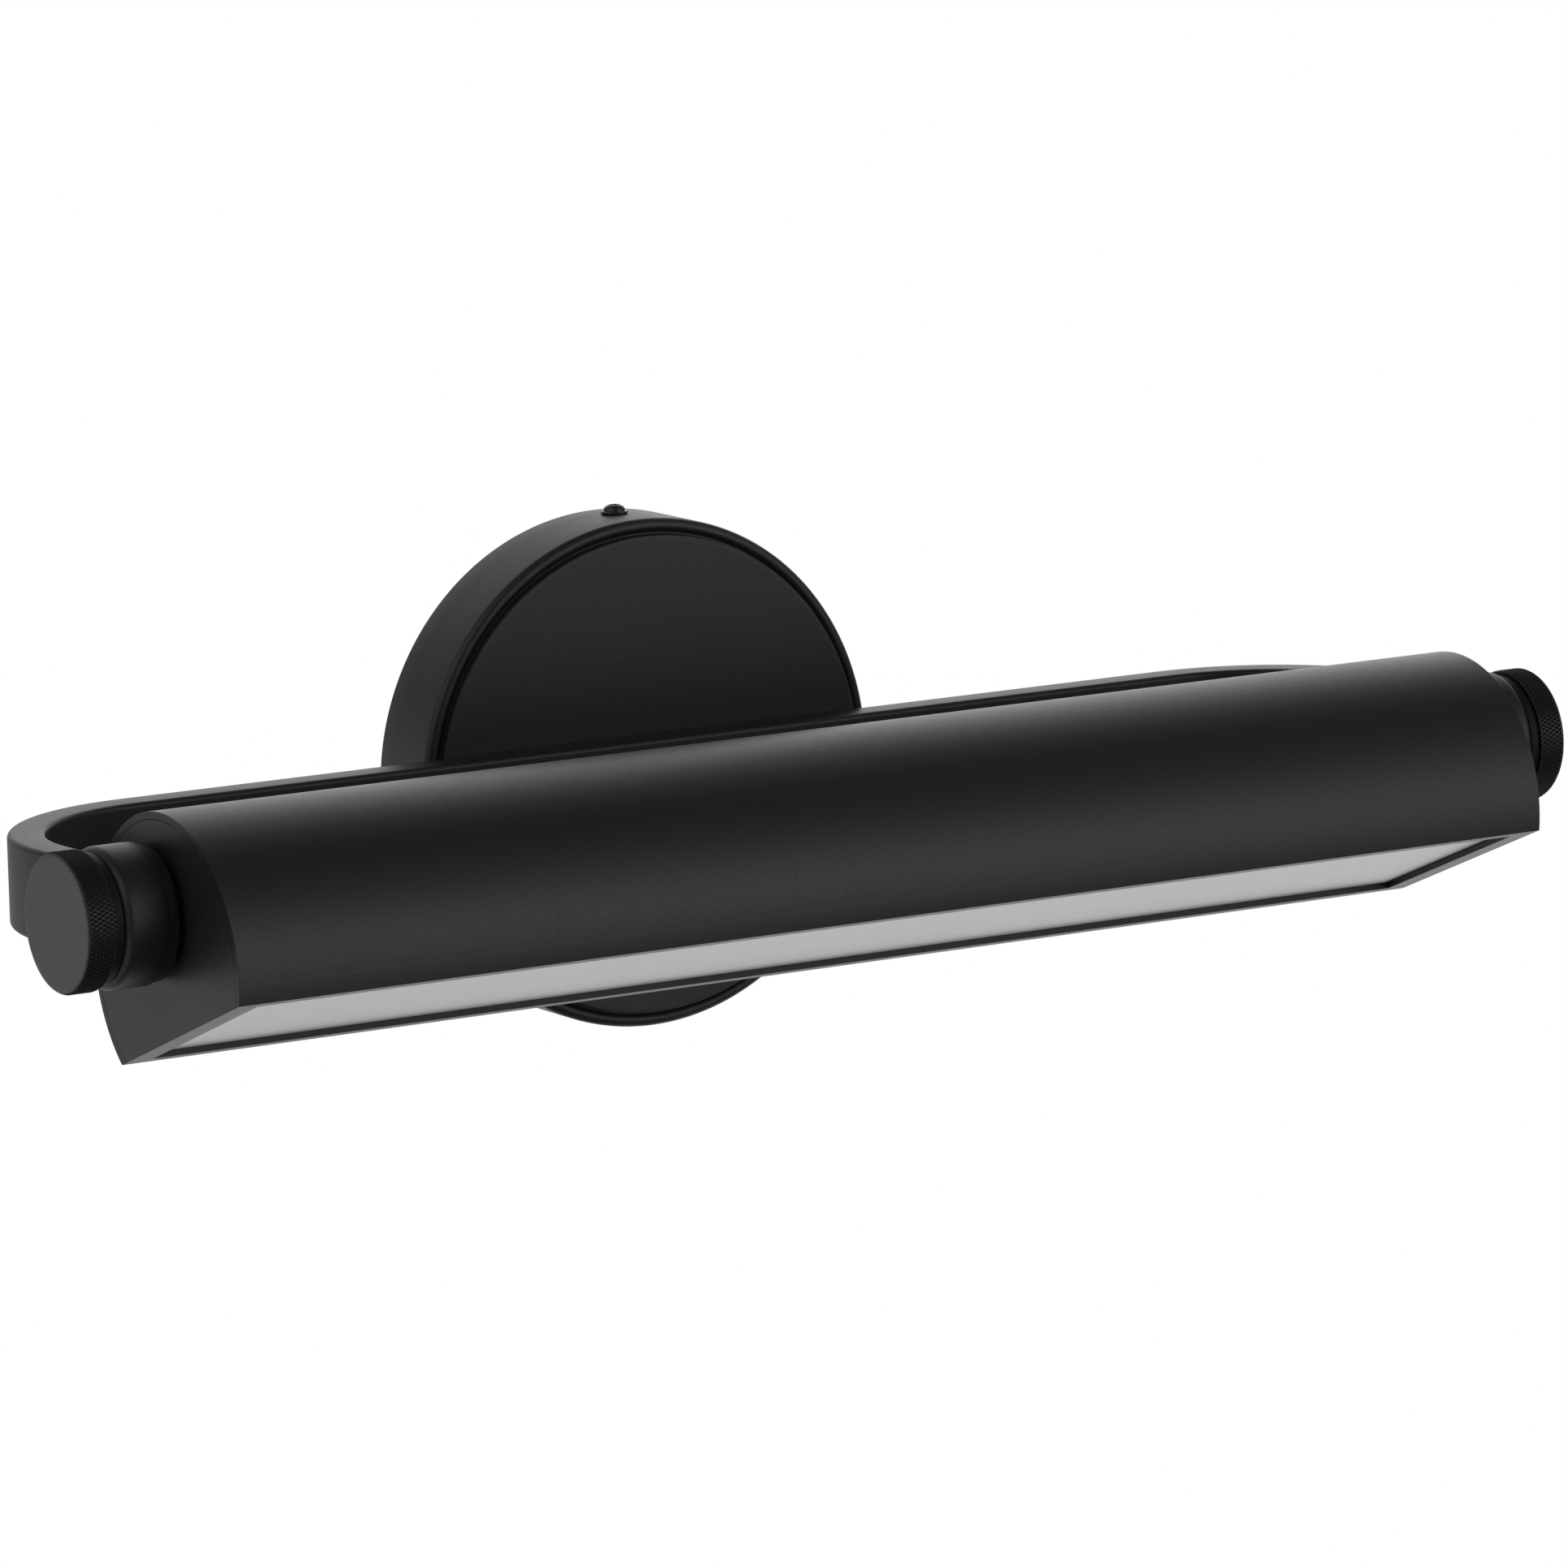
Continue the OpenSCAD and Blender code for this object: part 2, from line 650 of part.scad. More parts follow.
module stop_pin() {
    color(steel) left_side() on_head(half_l - cap_t) translate([0, stop_radius, 0])
        cylinder(r = stop_r, h = eye_in + stop_reach - half_l + cap_t);
}
module led_board() {
    color("white") difference() {
        on_head(-board.x / 2) translate([-board.y / 2, web_z - board.z, 0]) cube([board.y, board.z, board.x]);
        for (x = board_screw_xs)
            on_head(x) translate([board_screw_y, web_z - board.z - 1, 0]) rotate([-90, 0, 0])
                cylinder(r = m3_r + free, h = board.z + 2);
    }
}
module leds() {
    color("khaki") for (i = [0:led_count - 1])
        on_head((i - (led_count - 1) / 2) * led_pitch)
            translate([-led.y / 2, web_z - board.z - led.z, -led.x / 2]) cube([led.y, led.z, led.x]);
}
module board_screws() {
    color(steel) for (x = board_screw_xs)
        on_head(x) translate([board_screw_y, web_z - board.z, 0]) rotate([90, 0, 0])
            pan_screw(port_hole - ease, board_screw_l, board_screw_head);
}
module diffuser() {
    length = head_l - 2 * cap_t - 0.6;
    color("white") on_head(-length / 2)
        translate([-diffuser_half, chord_z + lip_h + gap, 0]) cube([2 * diffuser_half, diffuser_t, length]);
}
module lead_grommet() {
    color("dimgray") on_head(lead_drop_x) translate([0, web_z, 0]) rotate([-90, 0, 0]) difference() {
        union() {
            cylinder(r = grommet_r - ease, h = web_t);
            translate([0, 0, web_t]) cylinder(r = grommet_flange[0], h = grommet_flange[1]);
        }
        translate([0, 0, -1]) cylinder(r = grommet_bore, h = web_t + 3);
    }
}
module head_leads() {
    for (i = [0, 1]) {
        bore = -bore_leads[i];
        drop_x = lead_drop_x - bore;
        route = [[bore * cos(tilt), bore * sin(tilt), eye_in - gap], [bore, 0, eye_in - 4], [bore, 0, drop_x],
            [0, web_z + web_t + 3, drop_x], [0, web_z, drop_x]];
        color(["red", "black"][i]) on_head(0) lead(rounded_path(route, 1.2), [0, 1, 0]);
    }
}

// ---- knobs ----
module collar() {
    on_head(collar_in) tube(collar_r, stud_r + 0.3, collar_w);
}
module knob() {
    chamfer = knob_r - knob_face_r;
    on_head(knob_in) difference() {
        union() {
            cylinder(r = knob_r, h = knob_w - chamfer);
            translate([0, 0, knob_w - chamfer]) cylinder(r1 = knob_r, r2 = knob_face_r, h = chamfer);
        }
        translate([0, 0, -1]) cylinder(r = stud_r + gap, h = stud_out - knob_in + 1.4);
    }
}
module left_collar() {
    color(paint) left_side() collar();
}
module right_collar() {
    color(paint) collar();
}
module left_knob() {
    color(paint) left_side() knob();
}
module right_knob() {
    color(paint) knob();
}

wall_bracket();
ground_screw();
terminal_block();
terminal_screws();
led_driver();
bracket_screws();
supply_leads();
earth_lead();
canopy();
canopy_screws();
yoke_tube();
yoke_nipple();
nipple_washer();
nipple_nut();
nipple_bush();
yoke_screws();
yoke_leads();
left_eye();
right_eye();
shade();
left_end_cap();
right_end_cap();
end_cap_screws();
left_pivot_stud();
right_pivot_stud();
pivot_lock_nuts();
thrust_washers();
friction_washers();
stop_pin();
led_board();
leds();
board_screws();
diffuser();
lead_grommet();
head_leads();
left_collar();
right_collar();
left_knob();
right_knob();
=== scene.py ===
import math

import bmesh
import bpy
from mathutils import Matrix, Vector, geometry


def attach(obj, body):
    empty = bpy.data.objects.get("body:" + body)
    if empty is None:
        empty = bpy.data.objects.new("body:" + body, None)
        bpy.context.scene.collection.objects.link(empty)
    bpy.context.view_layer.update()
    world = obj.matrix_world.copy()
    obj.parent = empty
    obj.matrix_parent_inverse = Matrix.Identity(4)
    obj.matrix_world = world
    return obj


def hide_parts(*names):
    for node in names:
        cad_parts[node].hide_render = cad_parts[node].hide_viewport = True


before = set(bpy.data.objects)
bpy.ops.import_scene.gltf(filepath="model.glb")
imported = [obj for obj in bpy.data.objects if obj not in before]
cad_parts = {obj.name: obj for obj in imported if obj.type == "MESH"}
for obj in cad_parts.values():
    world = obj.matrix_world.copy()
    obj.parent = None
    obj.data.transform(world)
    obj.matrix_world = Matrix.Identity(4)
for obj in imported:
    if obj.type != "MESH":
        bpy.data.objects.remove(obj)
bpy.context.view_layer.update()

# Sizes in millimetres, the same as the CAD part's
MM = 0.001
CANOPY_R, CANOPY_DEPTH, CANOPY_WALL, CANOPY_ROUND = 63.5, 24.6, 1.5, 1.8
DISC_R, DISC_RISE, DISC_EDGE, GROOVE_R, GROOVE_DEPTH = 59.6, 1.6, 0.4, 0.35, 0.8
SIDE_SCREW_REACH, SIDE_HOLE_R, SIDE_FLANGE_R = 9.0, 1.6, 3.5
SIDE_SCREW = (1.45, 7.0, 2.75, 2.3)      # shank radius, length, head radius, head height
INSIDE_Y = CANOPY_DEPTH - CANOPY_WALL
TUBE_H, TUBE_T, TUBE_WALL, TUBE_ROUND = 22.0, 9.0, 1.5, 1.3
ARM_OUT, BEND_R, PIVOT_REACH, TOE_IN = 195.5, 48.2, 105.0, math.radians(2.9)
YOKE_Z, PIVOT_Z = -0.5, -1.5
LINE_R, LINE_Y = BEND_R - TUBE_T / 2, CANOPY_DEPTH + TUBE_T / 2      # the tube's middle line
BEND_Y = CANOPY_DEPTH + BEND_R
ARM_REACH = PIVOT_REACH - BEND_Y - LINE_R * math.sin(TOE_IN)
BEND_X = ARM_OUT - TUBE_T / 2 - LINE_R * math.cos(TOE_IN) + ARM_REACH * math.tan(TOE_IN)
YOKE_SCREW_X, YOKE_HOLE_R = 18.0, 2.0
NIPPLE_IN, NIPPLE_BORE, NIPPLE_FLANGE_R = 14.0, 3.5, 7.0
EYE_R, EYE_IN, EYE_W, EYE_ROUND = 16.8, 186.2, 11.2, 2.0
CHAMBER_R, CHAMBER_W = 9.0, 7.0          # where the leads turn with the head
PIN_PATH_R, PIN_R, PIN_HOLE_R = 12.0, 1.5, 1.55
HEAD_HALF, SHADE_R, SHADE_WALL = 181.8, 35.9, 2.0
PIVOT_RISE, CHORD_DROP, TILT = 13.0, 16.75, math.radians(21.2)
CAP_T = 6.5
KNOB_R, KNOB_FACE_R, KNOB_W = 16.65, 16.0, 7.0
COLLAR_R, COLLAR_W = 15.6, 2.5
GAP = 0.05
COLLAR_IN = EYE_IN + EYE_W + GAP
KNOB_IN = COLLAR_IN + COLLAR_W + GAP
STUD_R, STUD_BORE, STUD_IN = 5.0, 3.0, 169.0
STUD_OUT = KNOB_IN + KNOB_W - 2.6
FRICTION_R, FRICTION_W, THRUST_R = 13.0, 1.7, 16.2
THRUST_IN = HEAD_HALF + FRICTION_W
CHORD_Z = -PIVOT_RISE - CHORD_DROP
INNER_R = SHADE_R - SHADE_WALL
OPENING_HALF = math.sqrt(SHADE_R ** 2 - CHORD_DROP ** 2)
LIP_W, LIP_H, DIFFUSER_T, DIFFUSER_HALF = 3.5, 1.5, 2.0, 30.0
WEB_Z, WEB_T = -10.75, 2.0
PORT_Y, PORT_R, PORT_HOLE, CAP_HOLE_R = 12.2, 2.9, 1.3, 1.55
LEAD_R, LEAD_APART = 0.75, 0.85
BRACKET_T, TAB_Z, TAB_REACH = 1.8, 61.3, 14.0
GROUND_Z = -24.0
TURN = 2 * math.pi


# ---- camera ----
def make_camera():
    azimuth, elevation, roll = math.radians(31.18), math.radians(9.73), math.radians(-1.39)
    distance, aim = 2.45347, Vector((0.02835, -0.04, -0.00342))
    back = Vector((-math.sin(azimuth) * math.cos(elevation), -math.cos(azimuth) * math.cos(elevation),
                   math.sin(elevation)))
    right = Vector((math.cos(azimuth), -math.sin(azimuth), 0))
    up = back.cross(right)
    level_right = right * math.cos(roll) + up * math.sin(roll)
    level_up = up * math.cos(roll) - right * math.sin(roll)
    data = bpy.data.cameras.new("camera")
    data.sensor_width = 36
    data.lens = 227.84
    data.clip_start, data.clip_end = 0.1, 40
    camera = bpy.data.objects.new("camera", data)
    turn = Matrix((level_right, level_up, back)).transposed().to_4x4()
    camera.matrix_world = Matrix.Translation(aim + back * distance) @ turn
    bpy.context.scene.collection.objects.link(camera)
    bpy.context.scene.camera = camera


# ---- placing: each takes a point in millimetres to the shared frame ----
def at_wall(x, y, z):
    return x, -z, y


def at_yoke(x, y, z):
    return x, -z, y + YOKE_Z


def on_pivot(x, y, z):
    return z, x - PIVOT_REACH, y + PIVOT_Z


def on_head(x, y, z):
    back = x * math.cos(TILT) + y * math.sin(TILT)
    up = y * math.cos(TILT) - x * math.sin(TILT)
    return z, back - PIVOT_REACH, up + PIVOT_Z


def upright(x, y, z):
    """A rod's own Z along the shared frame's Z, through the side screws."""
    return x, -SIDE_SCREW_REACH + y, z


def from_side(x, y, z):
    """A rod's own Z along the shared frame's X."""
    return z, x, y


def into_yoke(x, y, z):
    """A screw whose head sits inside the canopy's front and whose shank goes into the yoke."""
    return x, -INSIDE_Y + z, YOKE_Z + y


def mirrored(place):
    def left(x, y, z):
        a, b, c = place(x, y, z)
        return -a, b, c
    return left


def sides(place):
    return (("left", mirrored(place)), ("right", place))


def shifted(place, dx=0.0, dy=0.0, dz=0.0):
    return lambda x, y, z: place(x + dx, y + dy, z + dz)


# ---- mesh code ----
def build(name, verts, faces, place, material, body, slot, stands_for, sharp=38.0):
    """A piece from points in millimetres; its faces shade smoothly up to the angle `sharp`."""
    mesh = bpy.data.meshes.new(name)
    mesh.from_pydata([[c * MM for c in place(*v)] for v in verts], [], faces)
    piece = bpy.data.objects.new(name, mesh)
    bpy.context.scene.collection.objects.link(piece)
    finish_mesh(mesh, sharp)
    mesh.materials.append(material)
    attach(piece, body)
    if stands_for:
        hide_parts(stands_for)
    return piece


def finish_mesh(mesh, sharp):
    bm = bmesh.new()
    bm.from_mesh(mesh)
    bmesh.ops.remove_doubles(bm, verts=bm.verts, dist=1e-7)
    bmesh.ops.recalc_face_normals(bm, faces=bm.faces)
    for face in bm.faces:
        face.smooth = True
    for edge in bm.edges:
        edge.smooth = edge.is_manifold and edge.calc_face_angle(0) < math.radians(sharp)
    bm.to_mesh(mesh)
    bm.free()


def apply_modifiers(piece):
    depsgraph = bpy.context.evaluated_depsgraph_get()
    mesh = bpy.data.meshes.new_from_object(piece.evaluated_get(depsgraph))
    piece.modifiers.clear()
    old = piece.data
    piece.data = mesh
    bpy.data.meshes.remove(old)


def cut(piece, tools, sharp=38.0):
    """Takes the closed tool meshes, (verts, faces, place), out of the piece."""
    for verts, faces, place in tools:
        mesh = bpy.data.meshes.new("tool")
        mesh.from_pydata([[c * MM for c in place(*v)] for v in verts], [], faces)
        finish_mesh(mesh, sharp)
        tool = bpy.data.objects.new("tool", mesh)
        bpy.context.scene.collection.objects.link(tool)
        modifier = piece.modifiers.new("cut", "BOOLEAN")
        modifier.operation = "DIFFERENCE"
        modifier.solver = "EXACT"
        modifier.object = tool
        apply_modifiers(piece)
        bpy.data.objects.remove(tool)
    finish_mesh(piece.data, sharp)


def soften(piece, width, segments=3):
    """Rounds every edge sharper than 30 degrees."""
    bm = bmesh.new()
    bm.from_mesh(piece.data)
    bmesh.ops.dissolve_limit(bm, angle_limit=math.radians(0.2), verts=bm.verts, edges=bm.edges)
    bm.to_mesh(piece.data)
    bm.free()
    modifier = piece.modifiers.new("soften", "BEVEL")
    modifier.width = width * MM
    modifier.segments = segments
    modifier.limit_method = "ANGLE"
    modifier.angle_limit = math.radians(30.0)
    modifier.harden_normals = True
    apply_modifiers(piece)


def arc(cx, cy, r, start, end, steps):
    """Points on an arc, angles in degrees."""
    return [(cx + r * math.cos(math.radians(start + (end - start) * i / steps)),
             cy + r * math.sin(math.radians(start + (end - start) * i / steps))) for i in range(steps + 1)]


def lathe(profile, segments=128, closed=False):
    """Turns (radius, height) points about Z; an open profile starts and ends on the axis."""
    verts, rings = [], []
    for r, h in profile:
        if r < 1e-6:
            rings.append([len(verts)])
            verts.append((0, 0, h))
        else:
            rings.append(range(len(verts), len(verts) + segments))
            verts += [(r * math.cos(TURN * k / segments), r * math.sin(TURN * k / segments), h)
                      for k in range(segments)]
    faces = []
    pairs = list(zip(rings, rings[1:])) + ([(rings[-1], rings[0])] if closed else [])
    for a, b in pairs:
        for k in range(segments):
            j = (k + 1) % segments
            if len(a) == 1:
                faces.append((a[0], b[j], b[k]))
            elif len(b) == 1:
                faces.append((a[k], a[j], b[0]))
            else:
                faces.append((a[k], a[j], b[j], b[k]))
    return verts, faces


def rod(r, z0, z1, segments=48):
    return lathe([(0, z0), (r, z0), (r, z1), (0, z1)], segments)


def sweep(path, frames, section, inner=None):
    """A section of (across, up) points carried along the path; inner, of as many points, makes it a tube."""
    loops = [section] + ([inner] if inner else [])
    verts, faces, count = [], [], len(section)
    for loop in loops:
        for p, (across, up) in zip(path, frames):
            verts += [tuple(p[i] + u * across[i] + v * up[i] for i in range(3)) for u, v in loop]
    for which in range(len(loops)):
        base = which * len(path) * count
        for i in range(len(path) - 1):
            for k in range(count):
                j = (k + 1) % count
                a, b = base + i * count, base + (i + 1) * count
                faces.append((a + k, a + j, b + j, b + k) if which == 0 else (a + k, b + k, b + j, a + j))
    for end in (0, len(path) - 1):
        ring = [end * count + k for k in range(count)]
        if inner:
            shift = len(path) * count
            faces += [(a, b, b + shift, a + shift) for a, b in zip(ring, ring[1:] + ring[:1])]
        else:
            faces.append(tuple(ring))
    return verts, faces


def round_rect(w, h, r, steps=8):
    """The outline of a rectangle with rounded corners, centred."""
    points = []
    for sx, sy, start in ((1, 1, 0), (-1, 1, 90), (-1, -1, 180), (1, -1, 270)):
        points += arc(sx * (w / 2 - r), sy * (h / 2 - r), r, start, start + 90, steps)
    return points


def inside(point, loop):
    x, y = point
    hit = False
    for (x0, y0), (x1, y1) in zip(loop, loop[1:] + loop[:1]):
        if (y0 > y) != (y1 > y) and x < (x1 - x0) * (y - y0) / (y1 - y0) + x0:
            hit = not hit
    return hit


def slabs(loops, layers):
    """A closed solid made of layers along Z that share one division of the plane.
    loops are outlines of (x, y) points; layers are (z0, z1, test), where test(x, y) says what is solid."""
    points, edges = [], []
    for loop in loops:
        base = len(points)
        points += [Vector(p) for p in loop]
        edges += [(base + i, base + (i + 1) % len(loop)) for i in range(len(loop))]
    flat, _, cells, *_ = geometry.delaunay_2d_cdt(points, edges, [], 0, 1e-5)
    flat = [tuple(p) for p in flat]
    middle = [tuple(sum(flat[i][c] for i in cell) / len(cell) for c in (0, 1)) for cell in cells]
    levels = [layers[0][0]] + [layer[1] for layer in layers]
    verts = [(x, y, z) for z in levels for x, y in flat]
    count, faces = len(flat), []
    solid = [[test(x, y) for x, y in middle] for _, _, test in layers]
    for which, filled in enumerate(solid):
        low, high = which * count, (which + 1) * count
        owner = {}
        for number, cell in enumerate(cells):
            if filled[number]:
                for a, b in zip(cell, cell[1:] + cell[:1]):
                    owner[(a, b)] = number
        faces += [(low + a, low + b, high + b, high + a) for a, b in owner if (b, a) not in owner]
    empty = [False] * len(cells)
    for level, (below, above) in enumerate(zip([empty] + solid, solid + [empty])):
        base = level * count
        for number, cell in enumerate(cells):
            if below[number] and not above[number]:
                faces.append(tuple(base + i for i in cell))
            elif above[number] and not below[number]:
                faces.append(tuple(base + i for i in reversed(cell)))
    used = sorted({i for face in faces for i in face})
    index = {old: new for new, old in enumerate(used)}
    return [verts[i] for i in used], [tuple(index[i] for i in face) for face in faces]


def circle(x, y, r, steps=48):
    return arc(x, y, r, 0, 360, steps)[:-1]


def rectangle(x0, y0, x1, y1):
    return [(x0, y0), (x1, y0), (x1, y1), (x0, y1)]


def smooth_route(points, cut_back, steps=6):
    """The points with each corner turned in a smooth curve."""
    points = [Vector(p) for p in points]
    route = [points[0]]
    for a, b, c in zip(points, points[1:], points[2:]):
        reach = min(cut_back, (a - b).length * 0.48, (c - b).length * 0.48)
        u, w = (a - b).normalized() * reach, (c - b).normalized() * reach
        route += [b + u * (1 - t) ** 2 + w * t * t for t in [i / steps for i in range(steps + 1)]]
    return route + [points[-1]]


def carried_frames(route):
    """Side vectors carried along a route without twisting."""
    frames, side = [], None
    for i in range(len(route)):
        along = (route[min(i + 1, len(route) - 1)] - route[max(i - 1, 0)]).normalized()
        if side is None:
            side = along.orthogonal()
        side = (side - along * side.dot(along)).normalized()
        frames.append((side, along.cross(side)))
    return frames


# ---- materials ----
def make_material(name):
    material = bpy.data.materials.new(name)
    material.use_nodes = True
    tree = material.node_tree
    return material, tree.nodes, tree.links, tree.nodes["Principled BSDF"]


def noise(nodes, links, scale, detail=3.0, stretch=None):
    """A noise over the object's own coordinates, with this many patches to a metre."""
    source = nodes.new("ShaderNodeTexCoord").outputs["Object"]
    if stretch:
        mapping = nodes.new("ShaderNodeMapping")
        mapping.inputs["Scale"].default_value = stretch
        links.new(source, mapping.inputs["Vector"])
        source = mapping.outputs["Vector"]
    texture = nodes.new("ShaderNodeTexNoise")
    texture.inputs["Scale"].default_value = scale
    texture.inputs["Detail"].default_value = detail
    links.new(source, texture.inputs["Vector"])
    return texture.outputs["Fac"]


def spread(nodes, links, value, low, high):
    """Maps a noise onto the range low to high."""
    ranged = nodes.new("ShaderNodeMapRange")
    ranged.inputs["From Min"].default_value = 0.3
    ranged.inputs["From Max"].default_value = 0.7
    ranged.inputs["To Min"].default_value = low
    ranged.inputs["To Max"].default_value = high
    links.new(value, ranged.inputs["Value"])
    return ranged.outputs["Result"]


def tinted(nodes, links, value, dark, light):
    mix = nodes.new("ShaderNodeMix")
    mix.data_type = "RGBA"
    mix.inputs["A"].default_value = (*dark, 1)
    mix.inputs["B"].default_value = (*light, 1)
    links.new(value, mix.inputs["Factor"])
    return mix.outputs["Result"]


def bumped(nodes, links, height, distance):
    bump = nodes.new("ShaderNodeBump")
    bump.inputs["Distance"].default_value = distance
    links.new(height, bump.inputs["Height"])
    return bump.outputs["Normal"]


def surface(name, dark, light, rough, grain, depth, metallic=0.0, specular=0.5, stretch=None, edge_tint=None,
            patch=60.0):
    """A finish whose colour and roughness drift a little, with a fine grain; the edge colour, if given, is
    mixed onto its sharpest convex edges.
    """
    material, nodes, links, shader = make_material(name)
    drift = noise(nodes, links, patch, 4.0)
    colour = tinted(nodes, links, drift, dark, light)
    # lighter on the sharpest convex edges, found by the mesh's pointiness
    if edge_tint:
        edge = nodes.new("ShaderNodeNewGeometry").outputs["Pointiness"]
        ranged = nodes.new("ShaderNodeMapRange")
        ranged.inputs["From Min"].default_value = 0.54
        ranged.inputs["From Max"].default_value = 0.62
        ranged.inputs["To Max"].default_value = 0.6
        links.new(edge, ranged.inputs["Value"])
        mix = nodes.new("ShaderNodeMix")
        mix.data_type = "RGBA"
        mix.inputs["B"].default_value = (*edge_tint, 1)
        links.new(colour, mix.inputs["A"])
        links.new(ranged.outputs["Result"], mix.inputs["Factor"])
        colour = mix.outputs["Result"]
    links.new(colour, shader.inputs["Base Color"])
    fine = noise(nodes, links, grain, 2.0, stretch)
    links.new(spread(nodes, links, fine, rough[0], rough[1]), shader.inputs["Roughness"])
    links.new(bumped(nodes, links, fine, depth), shader.inputs["Normal"])
    shader.inputs["Metallic"].default_value = metallic
    shader.inputs["Specular IOR Level"].default_value = specular
    return material


COAT_DARK, COAT_LIGHT, COAT_EDGE = (0.0122, 0.0118, 0.0158), (0.0152, 0.0146, 0.0192), (0.03, 0.029, 0.033)
coat = surface("powder_coat", COAT_DARK, COAT_LIGHT, (0.4, 0.5), 2600, 0.00003, edge_tint=COAT_EDGE)
coat_aluminium = surface("powder_coat_aluminium", COAT_DARK, COAT_LIGHT, (0.38, 0.48), 2900, 0.00003,
                         edge_tint=COAT_EDGE)
coat_knurled = surface("powder_coat_knurled", COAT_DARK, COAT_LIGHT, (0.28, 0.38), 3200, 0.00003)
# A darker, less shiny copy of the coat for the knob collars: painted shade for the deep recess between knob
# and eye
collar_coat_painted_shade = surface("powder_coat_collar", (0.006, 0.0058, 0.007), (0.008, 0.0077, 0.0092), (0.5, 0.6), 2900,
                    0.00003, specular=0.25)
zinc = surface("zinc_plate", (0.5, 0.51, 0.53), (0.64, 0.65, 0.66), (0.24, 0.42), 900, 0.000015, metallic=1.0,
               stretch=(1, 1, 6), patch=120)
oxide = surface("black_oxide", (0.03, 0.03, 0.03), (0.07, 0.066, 0.062), (0.22, 0.45), 1800, 0.00004,
                metallic=0.6, edge_tint=(0.3, 0.29, 0.28), patch=700)
# The friction washers are white nylon; this near-black colour is painted shade for the narrow gap they sit
# in, between the shade's end and the eye
washer_nylon_painted_shade = surface("nylon_painted_shade", (0.008, 0.008, 0.009), (0.012, 0.012, 0.013), (0.42, 0.55), 1500, 0.00001)
terminal_plastic = surface("terminal_plastic", (0.74, 0.74, 0.7), (0.82, 0.82, 0.78), (0.4, 0.52), 1300,
                           0.00001)
brass = surface("brass", (0.62, 0.44, 0.16), (0.78, 0.58, 0.25), (0.22, 0.38), 1200, 0.00001, metallic=1.0,
                patch=300)
case_plastic = surface("case_plastic", (0.68, 0.69, 0.71), (0.77, 0.78, 0.8), (0.45, 0.6), 1900, 0.00003)
bush_plastic = surface("bush_plastic", (0.018, 0.018, 0.019), (0.03, 0.03, 0.031), (0.42, 0.56), 1500,
                       0.00002)
board_white = surface("solder_mask", (0.78, 0.79, 0.79), (0.86, 0.86, 0.85), (0.26, 0.36), 1500, 0.000008)
phosphor = surface("led_phosphor", (0.86, 0.66, 0.16), (0.93, 0.76, 0.26), (0.3, 0.4), 2500, 0.00001)
green_screw = surface("green_screw", (0.02, 0.2, 0.05), (0.04, 0.3, 0.08), (0.22, 0.36), 1500, 0.00001,
                      metallic=0.5)
INSULATION = {"red": (0.42, 0.02, 0.015), "black": (0.012, 0.012, 0.013), "white": (0.72, 0.72, 0.7),
              "green": (0.015, 0.22, 0.04)}
insulation = {
    name: surface("insulation_" + name, [c * 0.9 for c in colour], [min(c * 1.1, 1) for c in colour],
                  (0.32, 0.45), 1400, 0.00001)
    for name, colour in INSULATION.items()}


def make_opal():
    material, nodes, links, shader = make_material("opal_acrylic")
    drift = noise(nodes, links, 45, 3.0)
    links.new(tinted(nodes, links, drift, (0.86, 0.86, 0.86), (0.91, 0.91, 0.9)), shader.inputs["Base Color"])
    fine = noise(nodes, links, 1600, 2.0)
    links.new(spread(nodes, links, fine, 0.34, 0.44), shader.inputs["Roughness"])
    links.new(bumped(nodes, links, fine, 0.000008), shader.inputs["Normal"])
    shader.inputs["Subsurface Weight"].default_value = 0.35
    shader.inputs["Subsurface Radius"].default_value = (0.004, 0.004, 0.004)
    return material


opal = make_opal()


# ---- canopy ----
def canopy_profile():
    """A cup with a raised disc on its front, set in a round bead that is the rolled outer edge."""
    rim, bead = 0.35, CANOPY_DEPTH - DISC_RISE
    inner_r, inner_round, low = CANOPY_R - CANOPY_WALL, 0.4, bead - GROOVE_DEPTH - 1.0
    return ([(0, INSIDE_Y), (DISC_R - CANOPY_WALL, INSIDE_Y), (DISC_R - CANOPY_WALL, low)]
            + arc(inner_r - inner_round, low - inner_round, inner_round, 90, 0, 5)
            + [(inner_r, rim)] + arc(inner_r + rim, rim, rim, 180, 270, 4)
            + arc(CANOPY_R - rim, rim, rim, 270, 360, 4)
            + [(CANOPY_R, h) for h in (6, 14)]
            + arc(CANOPY_R - CANOPY_ROUND, bead - CANOPY_ROUND, CANOPY_ROUND, 0, 138, 24)
            + arc(DISC_R + GROOVE_R, bead - GROOVE_DEPTH + GROOVE_R, GROOVE_R, -60, -180, 6)
            + arc(DISC_R - DISC_EDGE, CANOPY_DEPTH - DISC_EDGE, DISC_EDGE, 0, 90, 7)
            + [(r, CANOPY_DEPTH) for r in (58, 50, 30, 12)] + [(0, CANOPY_DEPTH)])


canopy = build("canopy_shell", *lathe(canopy_profile(), 240), at_wall, coat, "mount", "black_coat_steel",
               "canopy")
cut(canopy, [(*rod(SIDE_HOLE_R, -70, 70), upright), (*rod(STUD_R + GAP, 10, 30), at_yoke)]
    + [(*rod(YOKE_HOLE_R + 0.1, 10, 30), shifted(at_yoke, x)) for x in (-YOKE_SCREW_X, YOKE_SCREW_X)])


# ---- screws ----
def quarter_turned(points, turns):
    for _ in range(turns):
        points = [(-y, x) for x, y in points]
    return points


